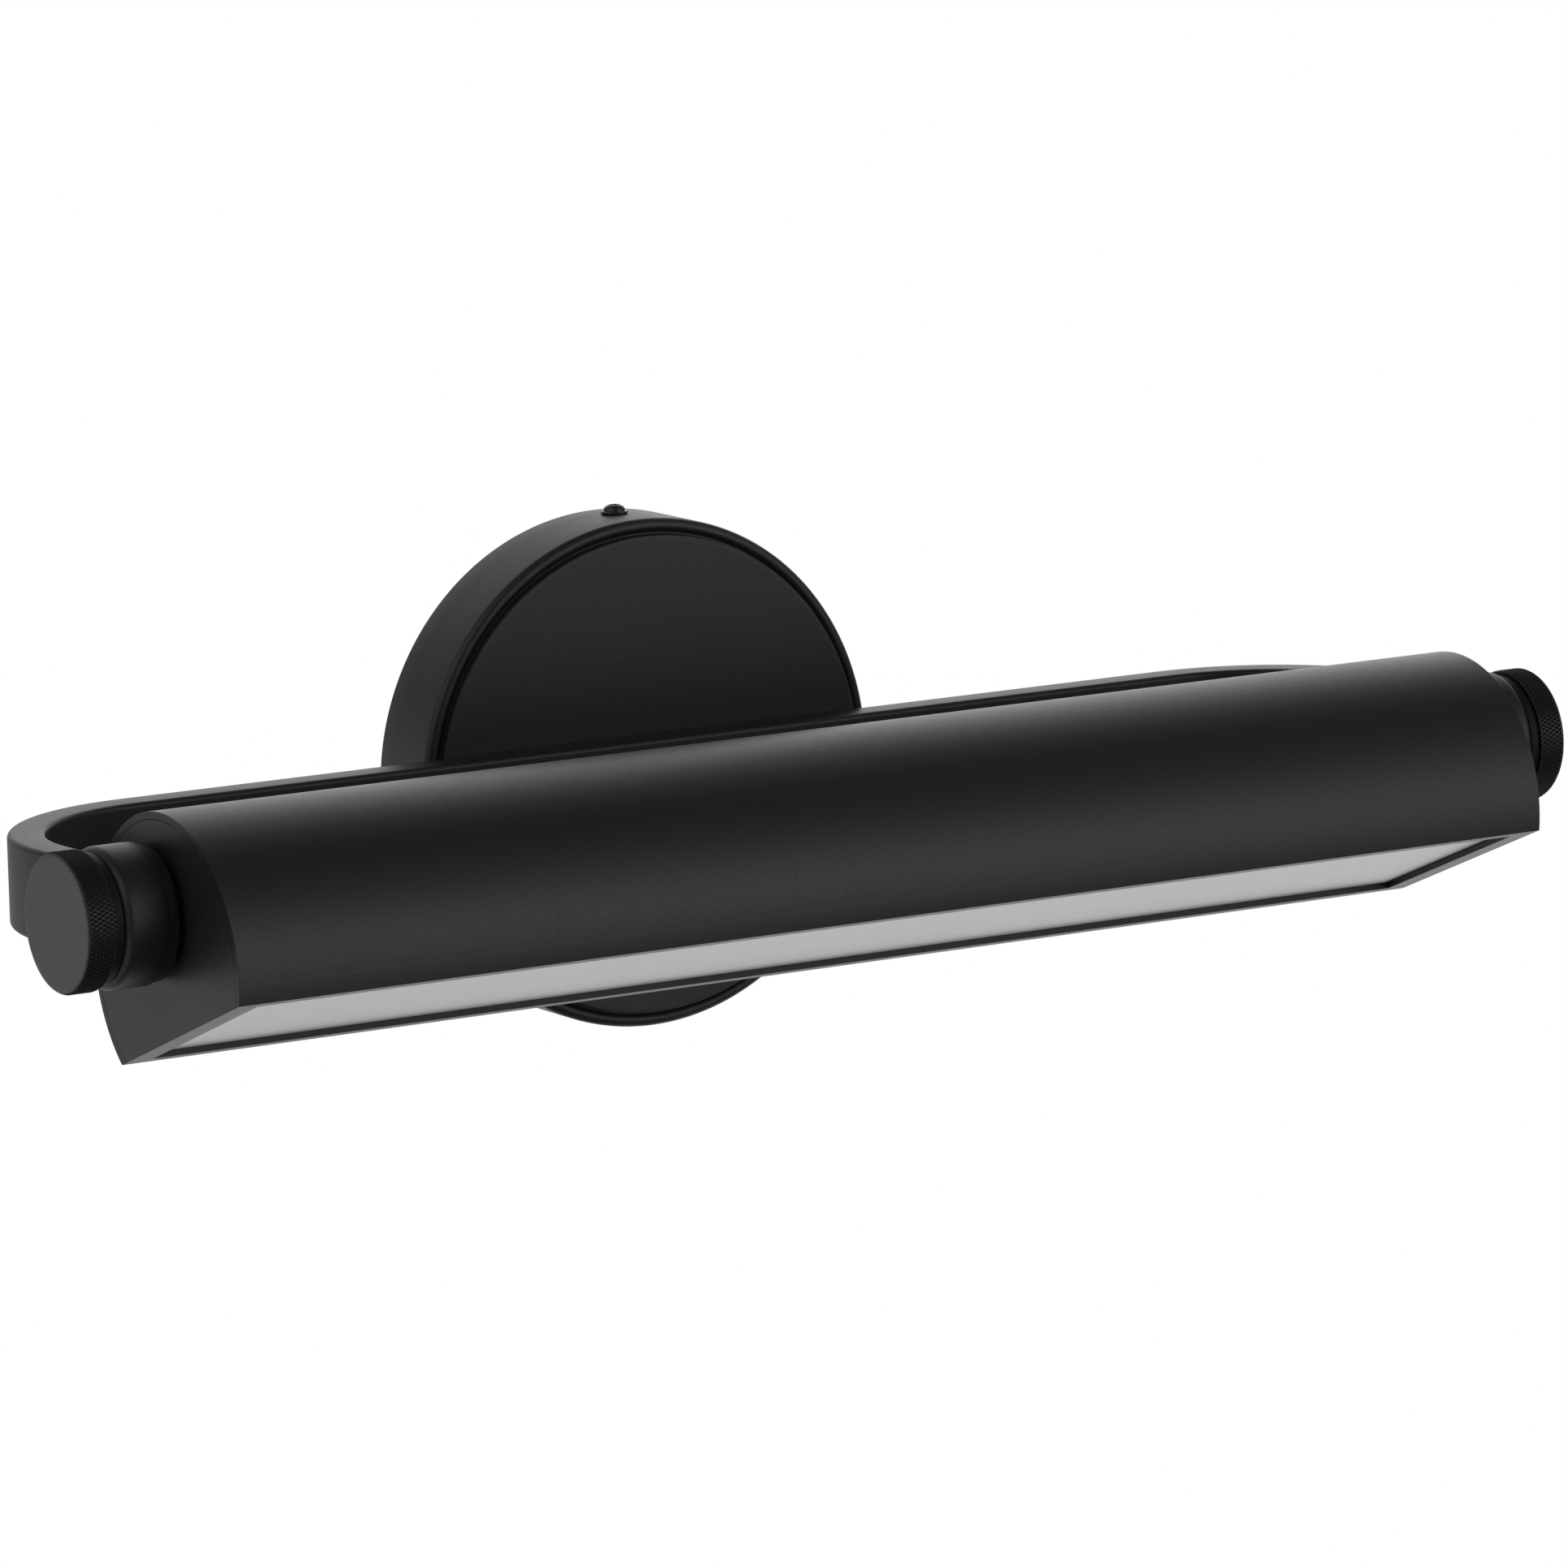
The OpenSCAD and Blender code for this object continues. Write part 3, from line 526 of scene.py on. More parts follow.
def cross_tool(reach, width, low, high):
    """A tapered cross that makes a screw's recess."""
    half = width / 2
    arm = [(reach, -half), (reach, half), (half, half)]
    outline = [point for turns in range(4) for point in quarter_turned(arm, turns)]
    verts = [(x * 0.5, y * 0.5, low) for x, y in outline] + [(x, y, high) for x, y in outline]
    count = len(outline)
    walls = [(k, (k + 1) % count, (k + 1) % count + count, k + count) for k in range(count)]
    return verts, walls + [tuple(range(count)), tuple(range(count, 2 * count))]


def pan_screw(name, place, shank_r, length, head_r, head_h, material, body, slot, node, flange_r=0.0):
    base = 0.7 if flange_r else 0.0
    dome = [(head_r * math.cos(t) ** 0.8, base + (head_h - base) * math.sin(t))
            for t in [math.radians(90 * i / 12) for i in range(12, -1, -1)]]
    dome[0] = (0, head_h)
    if flange_r:
        dome += [(head_r + 0.1, base)] + arc(flange_r - 0.22, base - 0.25, 0.22, 90, -90, 6)
        dome += [(flange_r - 0.3, 0)]
    else:
        dome += [(head_r, 0.05), (head_r - 0.08, 0)]
    dome += [(shank_r, 0), (shank_r, -length + 0.4), (shank_r - 0.4, -length), (0, -length)]
    screw = build(name, *lathe(dome, 64), place, material, body, slot, node, 50)
    cut(screw, [(*cross_tool(head_r * 0.55, 0.75, head_h * 0.42, head_h + 0.3), place)], 50)


def through_canopy_side(up):
    return lambda x, y, z: (x, -SIDE_SCREW_REACH + y, up * (CANOPY_R + z))


for up, name in ((1, "top"), (-1, "bottom")):
    pan_screw(f"canopy_screw_{name}", through_canopy_side(up), *SIDE_SCREW, oxide, "mount", "black_screw",
              "canopy_screws", SIDE_FLANGE_R)


# ---- yoke ----
def yoke_path():
    """The tube's middle line from eye to eye, as (point, outward) pairs seen from above."""
    half = [((BEND_X * t, LINE_Y), (0, 1)) for t in (0, 0.05, 0.1, 0.15, 0.3, 0.6)]
    half += [((BEND_X + LINE_R * math.sin(a), BEND_Y - LINE_R * math.cos(a)), (-math.sin(a), math.cos(a)))
             for a in [(math.pi / 2 + TOE_IN) * i / 48 for i in range(49)]]
    (x, y), across = half[-1]
    end_x = ARM_OUT - TUBE_T / 2
    half += [((x + (end_x - x) * t, y + (PIVOT_REACH - y) * t), across) for t in (0.2, 0.4, 1)]
    left = [((-x, y), (-u, v)) for (x, y), (u, v) in half[:0:-1]]
    return left + half


def build_yoke():
    path = yoke_path()
    route = [(x, y, YOKE_Z) for (x, y), _ in path]
    frames = [((u, v, 0), (0, 0, 1)) for _, (u, v) in path]
    outer = round_rect(TUBE_T, TUBE_H, TUBE_ROUND)
    inner = round_rect(TUBE_T - 2 * TUBE_WALL, TUBE_H - 2 * TUBE_WALL, 0.5)
    verts, faces = sweep(route, frames, outer, inner)
    fitted = []
    for x, y, z in verts:
        if y > PIVOT_REACH - 1:      # an end of the tube, which is drawn back to the eye's round side
            back = y - PIVOT_REACH + math.sqrt((EYE_R - 0.02) ** 2 - (z - PIVOT_Z) ** 2)
            x, y = x + math.copysign(back * math.tan(TOE_IN), x), y - back
        fitted.append((x, y, z))
    yoke = build("yoke_bent_tube", fitted, faces, lambda x, y, z: (x, -y, z), coat, "mount",
                 "black_coat_steel", "yoke_tube", 50)
    low, high = CANOPY_DEPTH - 2, CANOPY_DEPTH + TUBE_WALL + 1
    cut(yoke, [(*rod(STUD_R + GAP, low, high), at_yoke)]
        + [(*rod(YOKE_HOLE_R, low, high), shifted(at_yoke, x)) for x in (-YOKE_SCREW_X, YOKE_SCREW_X)], 50)


def eye_profile():
    return ([(CHAMBER_R, 0), (EYE_R - 0.5, 0)] + arc(EYE_R - 0.5, 0.5, 0.5, 270, 360, 5)
            + [(EYE_R, 3), (EYE_R, 6)] + arc(EYE_R - EYE_ROUND, EYE_W - EYE_ROUND, EYE_ROUND, 0, 90, 12)
            + [(STUD_R + 0.4, EYE_W), (STUD_R + GAP, EYE_W - 0.35), (STUD_R + GAP, CHAMBER_W),
               (CHAMBER_R, CHAMBER_W)])


def stop_groove():
    """The half-circle groove that the stop pin travels in, as a tool."""
    angles = [math.pi * i / 36 for i in range(37)]
    line = [(PIN_PATH_R * math.cos(a), PIN_PATH_R * math.sin(a), -1) for a in angles]
    frames = [((math.cos(a), math.sin(a), 0), (0, 0, 1)) for a in angles]
    return sweep(line, frames, rectangle(-PIN_HOLE_R, 0, PIN_HOLE_R, 5.5))


build_yoke()
for side, place in sides(shifted(on_pivot, dz=EYE_IN)):
    eye = build(f"{side}_eye_drum", *lathe(eye_profile(), 160, True), place, coat, "mount",
                "black_coat_steel", f"{side}_eye")
    if side == "left":
        cut(eye, [(*stop_groove(), place)]
            + [(*rod(PIN_HOLE_R, -1, 4.5), shifted(place, x)) for x in (-PIN_PATH_R, PIN_PATH_R)])


# ---- lamp head ----
def head_outline(r, steps=200):
    reach = math.degrees(math.asin(CHORD_DROP / r))
    return arc(0, -PIVOT_RISE, r, -reach, 180 + reach, steps)


def build_shade():
    shell, bore = head_outline(SHADE_R), circle(0, -PIVOT_RISE, INNER_R, 240)
    fuse, rib_z = head_outline(INNER_R + 1), CHORD_Z + LIP_H + DIFFUSER_T + 0.2
    solids, holes = [rectangle(-SHADE_R, WEB_Z, SHADE_R, WEB_Z + WEB_T)], []
    for s in (-1, 1):
        near, far = sorted((s * (OPENING_HALF - LIP_W), s * (OPENING_HALF + 5)))
        solids.append(rectangle(near, CHORD_Z, far, CHORD_Z + LIP_H))
        near, far = sorted((s * (DIFFUSER_HALF - 1), s * (DIFFUSER_HALF + 9)))
        solids.append(rectangle(near, rib_z, far, rib_z + 1.2))
        solids.append(rectangle(s * PORT_Y - 1, WEB_Z + WEB_T / 2, s * PORT_Y + 1, 0))
        solids.append(circle(s * PORT_Y, 0, PORT_R))
        holes.append(circle(s * PORT_Y, 0, PORT_HOLE, 32))

    def ring(x, y):
        return inside((x, y), shell) and not inside((x, y), bore)

    def full(x, y):
        point = (x, y)
        if ring(x, y):
            return True
        return inside(point, fuse) and any(inside(point, s) for s in solids) and not any(
            inside(point, h) for h in holes)

    inner = HEAD_HALF - CAP_T - 0.05
    layers = [(-HEAD_HALF, -inner, ring), (-inner, inner, full), (inner, HEAD_HALF, ring)]
    shade = build("shade_extrusion", *slabs([shell, bore, fuse] + solids + holes, layers), on_head,
                  coat_aluminium, "head", "black_coat_aluminium", "shade", 30)
    soften(shade, 0.3, 3)


def build_end_plate(side, place):
    """Reaches a little into the shade's wall, so that the joint between them doesn't show."""
    outline = head_outline(INNER_R + 0.28)
    holes = [circle(0, 0, STUD_R + GAP)] + [circle(s * PORT_Y, 0, CAP_HOLE_R, 32) for s in (-1, 1)]
    if side == "left":
        holes.append(circle(0, PIN_PATH_R, PIN_R, 32))

    def plate(x, y):
        return inside((x, y), outline) and not any(inside((x, y), h) for h in holes)

    cap = build(f"{side}_end_plate", *slabs([outline] + holes, [(0, CAP_T, plate)]), place, coat_aluminium,
                "head", "black_coat_aluminium", f"{side}_end_cap")
    cone = lathe([(0, CAP_T - 1.6), (CAP_HOLE_R, CAP_T - 1.6), (3.3, CAP_T + 0.1), (0, CAP_T + 0.1)], 32)
    cut(cap, [(*cone, shifted(place, s * PORT_Y)) for s in (-1, 1)])
    soften(cap, 0.06, 2)


build_shade()
for side, place in sides(shifted(on_head, dz=HEAD_HALF - CAP_T)):
    build_end_plate(side, place)


def ring_profile(r, bore, h, edge):
    return (arc(bore + edge, edge, edge, 180, 270, 4) + arc(r - edge, edge, edge, 270, 360, 4)
            + arc(r - edge, h - edge, edge, 0, 90, 4) + arc(bore + edge, h - edge, edge, 90, 180, 4))


for side, place in sides(on_head):
    friction_profile = ring_profile(FRICTION_R, STUD_R + GAP, FRICTION_W, 0.15)
    # the washers' near-black colour is painted shade, not the white nylon's own
    friction = build(f"{side}_friction_washer", *lathe(friction_profile, 128, True),
                     shifted(place, dz=HEAD_HALF), washer_nylon_painted_shade, "head", "white_nylon", "friction_washers")
    thrust_profile = ring_profile(THRUST_R, STUD_R + GAP, EYE_IN - GAP - THRUST_IN, 0.3)
    thrust = build(f"{side}_thrust_washer", *lathe(thrust_profile, 160, True),
                   shifted(place, dz=THRUST_IN), coat, "head", "black_coat_steel", "thrust_washers")
    if side == "left":
        pin_hole = (*rod(PIN_HOLE_R, HEAD_HALF - 1, EYE_IN + 1), shifted(place, dy=PIN_PATH_R))
        cut(friction, [pin_hole])
        cut(thrust, [pin_hole])
    stud = [(STUD_BORE, 0), (STUD_R - 0.4, 0), (STUD_R, 0.4), (STUD_R, STUD_OUT - STUD_IN - 0.4),
            (STUD_R - 0.4, STUD_OUT - STUD_IN), (STUD_BORE, STUD_OUT - STUD_IN)]
    build(f"{side}_stud", *lathe(stud, 64, True), shifted(place, dz=STUD_IN), zinc, "head", "zinc_steel",
          f"{side}_pivot_stud")


def plain_block(name, outline, height, place, material, body, slot, node, edge, holes=()):
    """A plate of one outline with holes, every edge rounded."""
    def plate(x, y):
        return inside((x, y), outline) and not any(inside((x, y), h) for h in holes)

    block = build(name, *slabs([outline, *holes], [(0, height, plate)]), place, material, body, slot, node)
    soften(block, edge)


diffuser_l, diffuser_low = 2 * (HEAD_HALF - CAP_T) - 0.6, CHORD_Z + LIP_H + GAP
plain_block("diffuser_panel",
            rectangle(-DIFFUSER_HALF, diffuser_low, DIFFUSER_HALF, diffuser_low + DIFFUSER_T), diffuser_l,
            shifted(on_head, dz=-diffuser_l / 2), opal, "head", "opal_acrylic", "diffuser", 0.4)


# ---- knobs ----
TEETH, TOOTH_L, TOOTH_DEPTH, PER_TOOTH = 92, 2.0, 0.55, 8


def knurl(h, angle):
    """The rim's radius: two crossing families of grooves, met by the edge's chamfer."""
    turn = TEETH * angle / TURN
    waves = [abs((phase + 0.5) % 1.0 - 0.5) * 2 for phase in (turn + h / TOOTH_L, turn - h / TOOTH_L)]
    ridge = min(min(waves) * 1.25, 1.0)
    chamfer = KNOB_R - max(0.0, h - (KNOB_W - (KNOB_R - KNOB_FACE_R)))
    back_chamfer = KNOB_R - max(0.0, 0.35 - h)
    return min(KNOB_R - TOOTH_DEPTH * (1 - ridge), chamfer, back_chamfer)


def knurled_knob(bore_depth):
    """The knob's outline turned about its axis, and its rim then pressed in by the knurl."""
    segments = TEETH * PER_TOOTH
    rows = int(KNOB_W / (TOOTH_L / PER_TOOTH))
    heights = [KNOB_W * (rows - i) / rows for i in range(rows + 1)]
    profile = ([(0, KNOB_W)] + [(r, KNOB_W) for r in (6, 12, 15, KNOB_FACE_R - 0.12)]
               + [(KNOB_R, h) for h in [KNOB_W - 0.06] + heights[1:]]
               + [(15, 0), (STUD_R + 0.4, 0), (STUD_R + GAP, 0.35)]
               + [(STUD_R + GAP, bore_depth), (0, bore_depth)])
    verts, faces = lathe(profile, segments)
    shaped = []
    for x, y, h in verts:
        r = math.hypot(x, y)
        if abs(r - KNOB_R) < 1e-6:
            scale = knurl(h, math.atan2(y, x)) / r
            x, y = x * scale, y * scale
        shaped.append((x, y, h))
    return shaped, faces


for side, place in sides(on_head):
    build(f"{side}_knurled_knob", *knurled_knob(STUD_OUT - KNOB_IN + 0.4), shifted(place, dz=KNOB_IN),
          coat_knurled, f"{side}_knob", "knurled_black", f"{side}_knob", 32)
    # the collars take the darker coat, painted shade for the recess they sit in
    build(f"{side}_knob_collar", *lathe(ring_profile(COLLAR_R, STUD_R + 0.3, COLLAR_W, 0.3), 160, True),
          shifted(place, dz=COLLAR_IN), collar_coat_painted_shade, f"{side}_collar", "black_coat_aluminium", f"{side}_collar")


# ---- on the wall, inside the canopy ----
def hexagon(flats):
    r = flats / math.sqrt(3)
    return [(r * math.cos(TURN * i / 6), r * math.sin(TURN * i / 6)) for i in range(6)]


def box_slot(y):
    half, w = 1.4, 2.3
    return arc(0, y + half, w, 0, 180, 16) + arc(0, y - half, w, 180, 360, 16)


def build_bracket():
    bar, arm_x, arm_y = 8.0, 59.5, 12.0
    plus = [(arm_x, -arm_y), (arm_x, arm_y), (bar, arm_y), (bar, TAB_Z), (-bar, TAB_Z), (-bar, arm_y),
            (-arm_x, arm_y), (-arm_x, -arm_y), (-bar, -arm_y), (-bar, -TAB_Z), (bar, -TAB_Z), (bar, -arm_y)]
    holes = [circle(0, 0, 6.0), circle(0, GROUND_Z, 2.0, 32)]
    holes += [box_slot(s * spacing / 2) for s in (-1, 1) for spacing in (88.9, 69.85)]
    holes += [circle(x, 0, 1.5, 24) for x in (18.8, 57.2)] + [circle(-35, 4.5, 1.5, 24)]
    tabs = [rectangle(-bar, low, bar, low + BRACKET_T) for low in (TAB_Z - BRACKET_T, -TAB_Z)]

    def plate(x, y):
        return inside((x, y), plus) and not any(inside((x, y), h) for h in holes)

    def bent(x, y):
        return any(inside((x, y), t) for t in tabs)

    bracket = build("bracket_strap", *slabs([plus] + holes + tabs, [(0, BRACKET_T, plate),
                    (BRACKET_T, TAB_REACH, bent)]), at_wall, zinc, "mount", "zinc_steel", "wall_bracket")
    cut(bracket, [(*rod(1.5, -70, 70, 32), upright)])
    soften(bracket, 0.3, 2)


def build_driver():
    x0, x1, case_h, ear_h = 22.0, 54.0, 18.0, 2.0
    case = [(x0 + 16 + x, y) for x, y in round_rect(32, 52, 2.5, 6)]
    lid_gap = [(x0 + 16 + x, y) for x, y in round_rect(31.2, 51.2, 2.1, 6)]
    ears = [rectangle(x0 - 6.6, -4, x0 + 2, 4), rectangle(x1 - 2, -4, x1 + 6.6, 4)]
    holes = [circle(x0 - 3.2, 0, 1.6, 24), circle(x1 + 3.2, 0, 1.6, 24)]
    vents = [rectangle(x0 + 6, y - 0.6, x1 - 6, y + 0.6) for y in (-12, -8, -4, 4, 8, 12)]

    def footed(x, y):
        return inside((x, y), case) or (any(inside((x, y), e) for e in ears) and not any(
            inside((x, y), h) for h in holes))

    def walls(x, y):
        return inside((x, y), case)

    def lid_line(x, y):
        return inside((x, y), lid_gap)

    def vented(x, y):
        return walls(x, y) and not any(inside((x, y), v) for v in vents)

    layers = [(0, ear_h, footed), (ear_h, 13.2, walls), (13.2, 13.8, lid_line), (13.8, 17.2, walls),
              (17.2, case_h, vented)]
    driver = build("driver_case", *slabs([case, lid_gap] + ears + holes + vents, layers),
                   shifted(at_wall, dz=BRACKET_T), case_plastic, "mount", "driver_case", "led_driver")
    soften(driver, 0.25, 2)


def build_terminal_block():
    x0, x1, half, height, pitch = -46.0, -24.0, 14.0, 14.0, 9.0
    body = rectangle(x0, -half, x1, half)
    grooves = [rectangle(x0 - 1, y - 0.5, x1 + 1, y + 0.5) for y in (-pitch / 2, pitch / 2)]
    wells = [circle(x, pole * pitch, 2.2, 32) for x in (-41, -29) for pole in (-1, 0, 1)]
    shaft, head = circle(-35, pitch / 2, 1.6, 24), circle(-35, pitch / 2, 3.0, 32)

    def base(x, y):
        return inside((x, y), body) and not inside((x, y), shaft)

    def mid(x, y):
        return inside((x, y), body) and not inside((x, y), head)

    def top(x, y):
        return mid(x, y) and not any(inside((x, y), w) for w in wells)

    def crown(x, y):
        return top(x, y) and not any(inside((x, y), g) for g in grooves)

    layers = [(0, 4, base), (4, 10, mid), (10, 12, top), (12, height, crown)]
    block = build("terminal_housing", *slabs([body, shaft, head] + grooves + wells, layers),
                  shifted(at_wall, dz=BRACKET_T), terminal_plastic, "mount", "terminal_plastic",
                  "terminal_block")
    cut(block, [(*rod(1.7, 0, 7, 32), shifted(from_side, -BRACKET_T - height / 2, pole * pitch, x))
                for x in (x0 - 1, x1 - 6) for pole in (-1, 0, 1)])
    soften(block, 0.2, 2)


build_bracket()
build_driver()
build_terminal_block()
for number, (x, y, h) in enumerate(((18.8, 0, 2.0), (57.2, 0, 2.0), (-35, 4.5, 4.0))):
    length = 4.5 if h == 2.0 else 6.5
    pan_screw(f"bracket_screw_{number + 1}", shifted(at_wall, x, y, BRACKET_T + h), 1.45, length, 2.75, 2.0,
              zinc, "mount", "zinc_steel", "bracket_screws")
for side, x in (("left", -YOKE_SCREW_X), ("right", YOKE_SCREW_X)):
    pan_screw(f"{side}_yoke_screw", shifted(into_yoke, x), 1.95, 4, 3.9, 2.6, zinc, "mount", "zinc_steel",
              "yoke_screws")
flange_h = CANOPY_DEPTH + TUBE_WALL
nipple_profile = [(NIPPLE_BORE, NIPPLE_IN), (STUD_R - 0.3, NIPPLE_IN), (STUD_R, NIPPLE_IN + 0.3),
                  (STUD_R, flange_h), (NIPPLE_FLANGE_R - 0.3, flange_h), (NIPPLE_FLANGE_R, flange_h + 0.3),
                  (NIPPLE_FLANGE_R, flange_h + 1), (NIPPLE_BORE, flange_h + 1)]
build("threaded_nipple", *lathe(nipple_profile, 64, True), at_yoke, zinc, "mount", "zinc_steel",
      "yoke_nipple")
build("nipple_flat_washer", *lathe(ring_profile(10, STUD_R + GAP, 1.2, 0.15), 96, True),
      shifted(at_yoke, dz=INSIDE_Y - 1.2), zinc, "mount", "zinc_steel", "nipple_washer")
plain_block("nipple_hex_nut", hexagon(15), 5, shifted(at_yoke, dz=INSIDE_Y - 6.2), zinc, "mount",
            "zinc_steel", "nipple_nut", 0.45, [circle(0, 0, STUD_R + GAP)])
bush_profile = [(2.5, NIPPLE_IN - 1.5), (4.6, NIPPLE_IN - 1.5), (STUD_R, NIPPLE_IN - 1.1),
                (STUD_R, NIPPLE_IN), (NIPPLE_BORE - GAP, NIPPLE_IN), (NIPPLE_BORE - GAP, NIPPLE_IN + 4),
                (2.5, NIPPLE_IN + 4)]
build("insulating_bush", *lathe(bush_profile, 64, True), at_yoke, bush_plastic, "mount", "black_bush",
      "nipple_bush")
for side, place in sides(shifted(on_head, dz=HEAD_HALF - CAP_T - 5)):
    plain_block(f"{side}_lock_nut", hexagon(14), 5, place, zinc, "head", "zinc_steel", "pivot_lock_nuts", 0.4,
                [circle(0, 0, STUD_R + GAP)])


# ---- leads ----
def as_given(x, y, z):
    return x, y, z


def lead(name, route, cut_back, colour, body, slot, node, place=as_given):
    """A lead along the route, with its corners cut back and turned in curves."""
    route = smooth_route(route, cut_back)
    build(name, *sweep(route, carried_frames(route), circle(0, 0, LEAD_R, 16)), place, insulation[colour],
          body, slot, node, 50)


lead("supply_lead_live", [(-29, -8.8, 9), (-18, -8.8, 9), (-8, -7, 19), (12, -7, 19), (22, -7, 19)], 3,
     "black", "mount", "supply_insulation", "supply_leads")
lead("supply_lead_neutral", [(-29, -8.8, 0), (-19, -8.8, 0), (-10, -7, 14), (12, -7, 14), (22, -7, 14)], 3,
     "white", "mount", "supply_insulation", "supply_leads")
earth_route = [(-29, -8.8, -9), (-17, -8.8, -9), (-8, -6, -14), (-5, -2.6, GROUND_Z + 6),
               (-3.2, -2.6, GROUND_Z + 4.2)]
lead("earth_lead_wire", earth_route, 2.5, "green", "mount", "earth_insulation", "earth_lead")
build("earth_ring_terminal", *lathe(ring_profile(5.4, 2.0, 1, 0.12), 64, True),
      shifted(at_wall, dy=GROUND_Z, dz=BRACKET_T), zinc, "mount", "earth_insulation", "earth_lead")


def yoke_lead_route(number, offset, r):
    """From the driver through the nipple, round the bend at radius r and through the eye to the tilt axis."""
    in_tube, in_canopy = -BEND_Y + r, -NIPPLE_IN + 3.5 + 2 * number
    eye_x = ARM_OUT - 3.9 - 1.8 * number
    angles = [math.pi / 2 - (math.pi / 2 + TOE_IN) * i / 19 for i in range(20)]
    bend = [(BEND_X + r * math.cos(a), -BEND_Y + r * math.sin(a), YOKE_Z) for a in angles]
    return ([(22, in_canopy, YOKE_Z), (offset, in_canopy, YOKE_Z), (offset, in_tube, YOKE_Z)] + bend
            + [(eye_x, -PIVOT_REACH + EYE_R, PIVOT_Z), (eye_x, -PIVOT_REACH - offset, PIVOT_Z),
               (EYE_IN, -PIVOT_REACH - offset, PIVOT_Z)])


def head_lead_route(offset):
    """From the tilt axis along the stud's bore and down through the web."""
    drop_x, start = 158 + offset, (-offset * math.cos(TILT), -offset * math.sin(TILT), EYE_IN - GAP)
    return [start, (-offset, 0, EYE_IN - 4), (-offset, 0, drop_x), (0, WEB_Z + WEB_T + 3, drop_x),
            (0, WEB_Z, drop_x)]


for number, (side_of_line, colour) in enumerate(((1, "red"), (-1, "black"))):
    offset = side_of_line * LEAD_APART
    lead(f"yoke_lead_{colour}", yoke_lead_route(number, offset, LINE_R + side_of_line), 1.2, colour, "mount",
         "lead_insulation", "yoke_leads")
    lead(f"head_lead_{colour}", head_lead_route(offset), 1.2, colour, "head", "lead_insulation", "head_leads",
         on_head)


# ---- CAD nodes that stay as they are ----
for node, material in {"ground_screw": green_screw, "terminal_screws": brass, "end_cap_screws": zinc,
                       "stop_pin": zinc, "led_board": board_white, "leds": phosphor, "board_screws": zinc,
                       "lead_grommet": bush_plastic}.items():
    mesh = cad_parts[node].data
    mesh.materials.clear()
    mesh.materials.append(material)


# ---- light, background and floor ----
# Each soft light: azimuth (clockwise from the wall's side), elevation, tightness and strength
FLOOR_GLOW = ((0, -35, 10, 0.6), (60, -35, 10, 1.3), (240, -35, 10, 0.8), (300, -35, 10, 0.6))
LEVEL_SCREENS = ((40, 0, 10, 1.2), (149, 0, 10, 0.7))
HIGH_SCREENS = ((0, 28, 10, 0.7), (45, 28, 10, 0.6), (130, 28, 10, 0.4), (270, 28, 10, 0.8))
FILLS = ((240, 42, 15, 0.8), (40, 20, 25, 0.4), (329, -10, 25, 0.7))
KEY_LIGHTS = ((149, 11, 60, 0.8), (149, 2, 30, 0.7), (149, 22, 30, 0.5))      # the shade's long soft streak


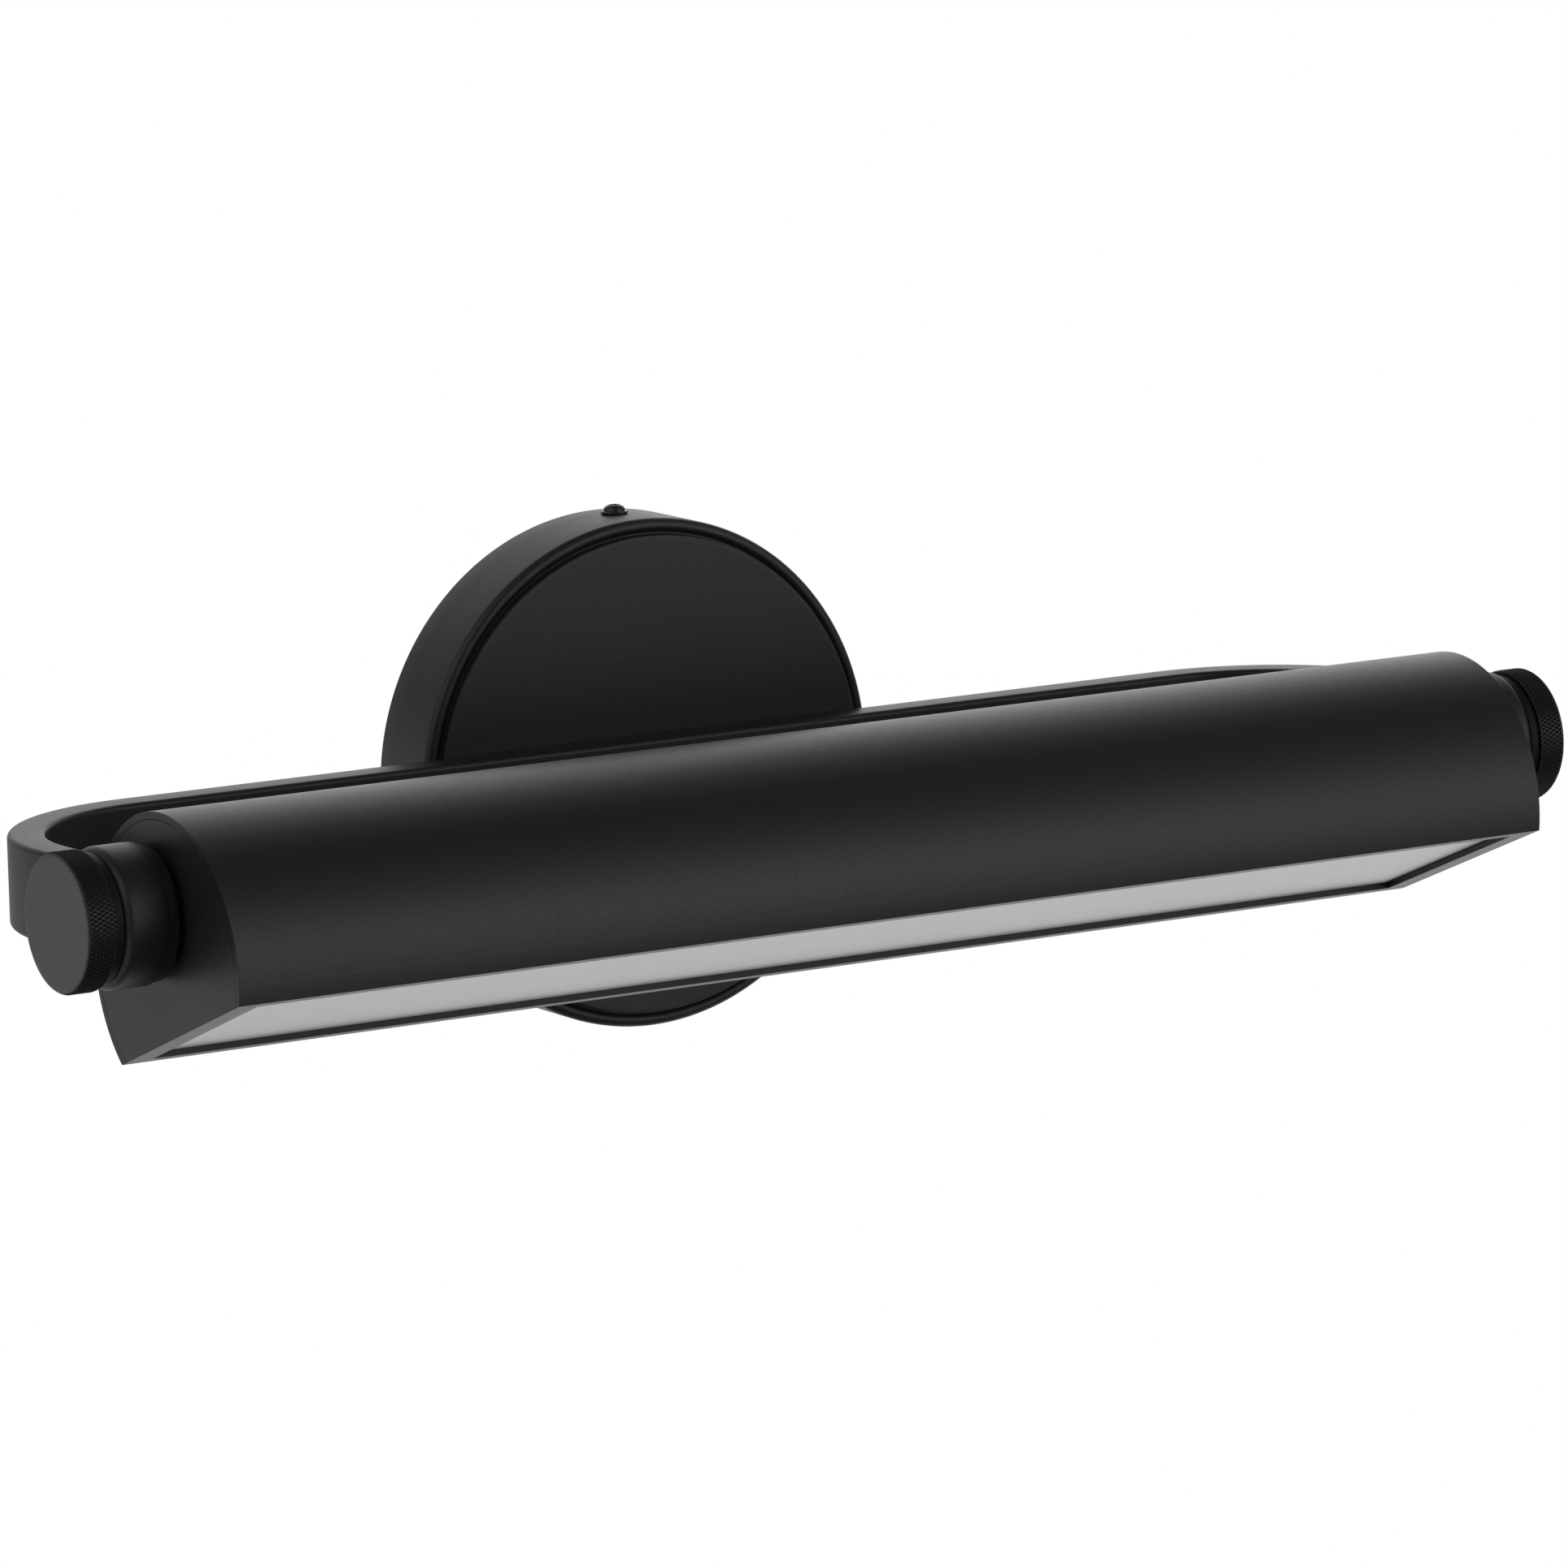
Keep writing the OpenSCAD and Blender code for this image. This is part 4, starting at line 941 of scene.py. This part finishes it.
def world_light():
    """A white backdrop for the camera, and soft lights that fade out from their middles for all else."""
    world = bpy.data.worlds.new("studio")
    bpy.context.scene.world = world
    world.use_nodes = True
    nodes, links = world.node_tree.nodes, world.node_tree.links
    nodes.clear()
    direction = nodes.new("ShaderNodeTexCoord").outputs["Generated"]
    total = None
    for azimuth, elevation, tightness, strength in (FLOOR_GLOW + LEVEL_SCREENS + HIGH_SCREENS + FILLS
                                                    + KEY_LIGHTS):
        turn, rise = math.radians(azimuth), math.radians(elevation)
        level = math.cos(rise)
        dot = nodes.new("ShaderNodeVectorMath")
        dot.operation = "DOT_PRODUCT"
        dot.inputs[1].default_value = (math.sin(turn) * level, math.cos(turn) * level, math.sin(rise))
        links.new(direction, dot.inputs[0])
        power = nodes.new("ShaderNodeMath")
        power.operation = "MULTIPLY_ADD"
        power.inputs[1].default_value, power.inputs[2].default_value = tightness, -tightness
        links.new(dot.outputs["Value"], power.inputs[0])
        lobe = nodes.new("ShaderNodeMath")
        lobe.operation = "EXPONENT"
        links.new(power.outputs[0], lobe.inputs[0])
        scaled = nodes.new("ShaderNodeMath")
        scaled.operation = "MULTIPLY_ADD"
        scaled.inputs[1].default_value, scaled.inputs[2].default_value = strength, 0
        links.new(lobe.outputs[0], scaled.inputs[0])
        if total:
            links.new(total, scaled.inputs[2])
        total = scaled.outputs[0]
    soft = nodes.new("ShaderNodeBackground")
    soft.inputs["Color"].default_value = (0.985, 0.985, 1.0, 1)
    links.new(total, soft.inputs["Strength"])
    white = nodes.new("ShaderNodeBackground")
    white.inputs["Color"].default_value = (1, 1, 1, 1)
    seen = nodes.new("ShaderNodeLightPath").outputs["Is Camera Ray"]
    mix = nodes.new("ShaderNodeMixShader")
    links.new(seen, mix.inputs[0])
    links.new(soft.outputs[0], mix.inputs[1])
    links.new(white.outputs[0], mix.inputs[2])
    links.new(mix.outputs[0], nodes.new("ShaderNodeOutputWorld").inputs[0])


def make_floor():
    """A plain white floor far below. Only the camera sees it, and only from above."""
    size, low = 30, -1.3
    mesh = bpy.data.meshes.new("floor")
    mesh.from_pydata([(-size, -size, low), (size, -size, low), (size, size, low), (-size, size, low)], [],
                     [(0, 1, 2, 3)])
    floor = bpy.data.objects.new("floor", mesh)
    bpy.context.scene.collection.objects.link(floor)
    material = bpy.data.materials.new("floor_white")
    material.use_nodes = True
    nodes, links = material.node_tree.nodes, material.node_tree.links
    nodes.clear()
    glow = nodes.new("ShaderNodeEmission")
    clear = nodes.new("ShaderNodeBsdfTransparent")
    mix = nodes.new("ShaderNodeMixShader")
    links.new(nodes.new("ShaderNodeNewGeometry").outputs["Backfacing"], mix.inputs[0])
    links.new(glow.outputs[0], mix.inputs[1])
    links.new(clear.outputs[0], mix.inputs[2])
    links.new(mix.outputs[0], nodes.new("ShaderNodeOutputMaterial").inputs[0])
    mesh.materials.append(material)
    floor.visible_diffuse = floor.visible_glossy = floor.visible_transmission = floor.visible_shadow = False


make_camera()
world_light()
make_floor()
bpy.context.scene.view_settings.view_transform = "Standard"
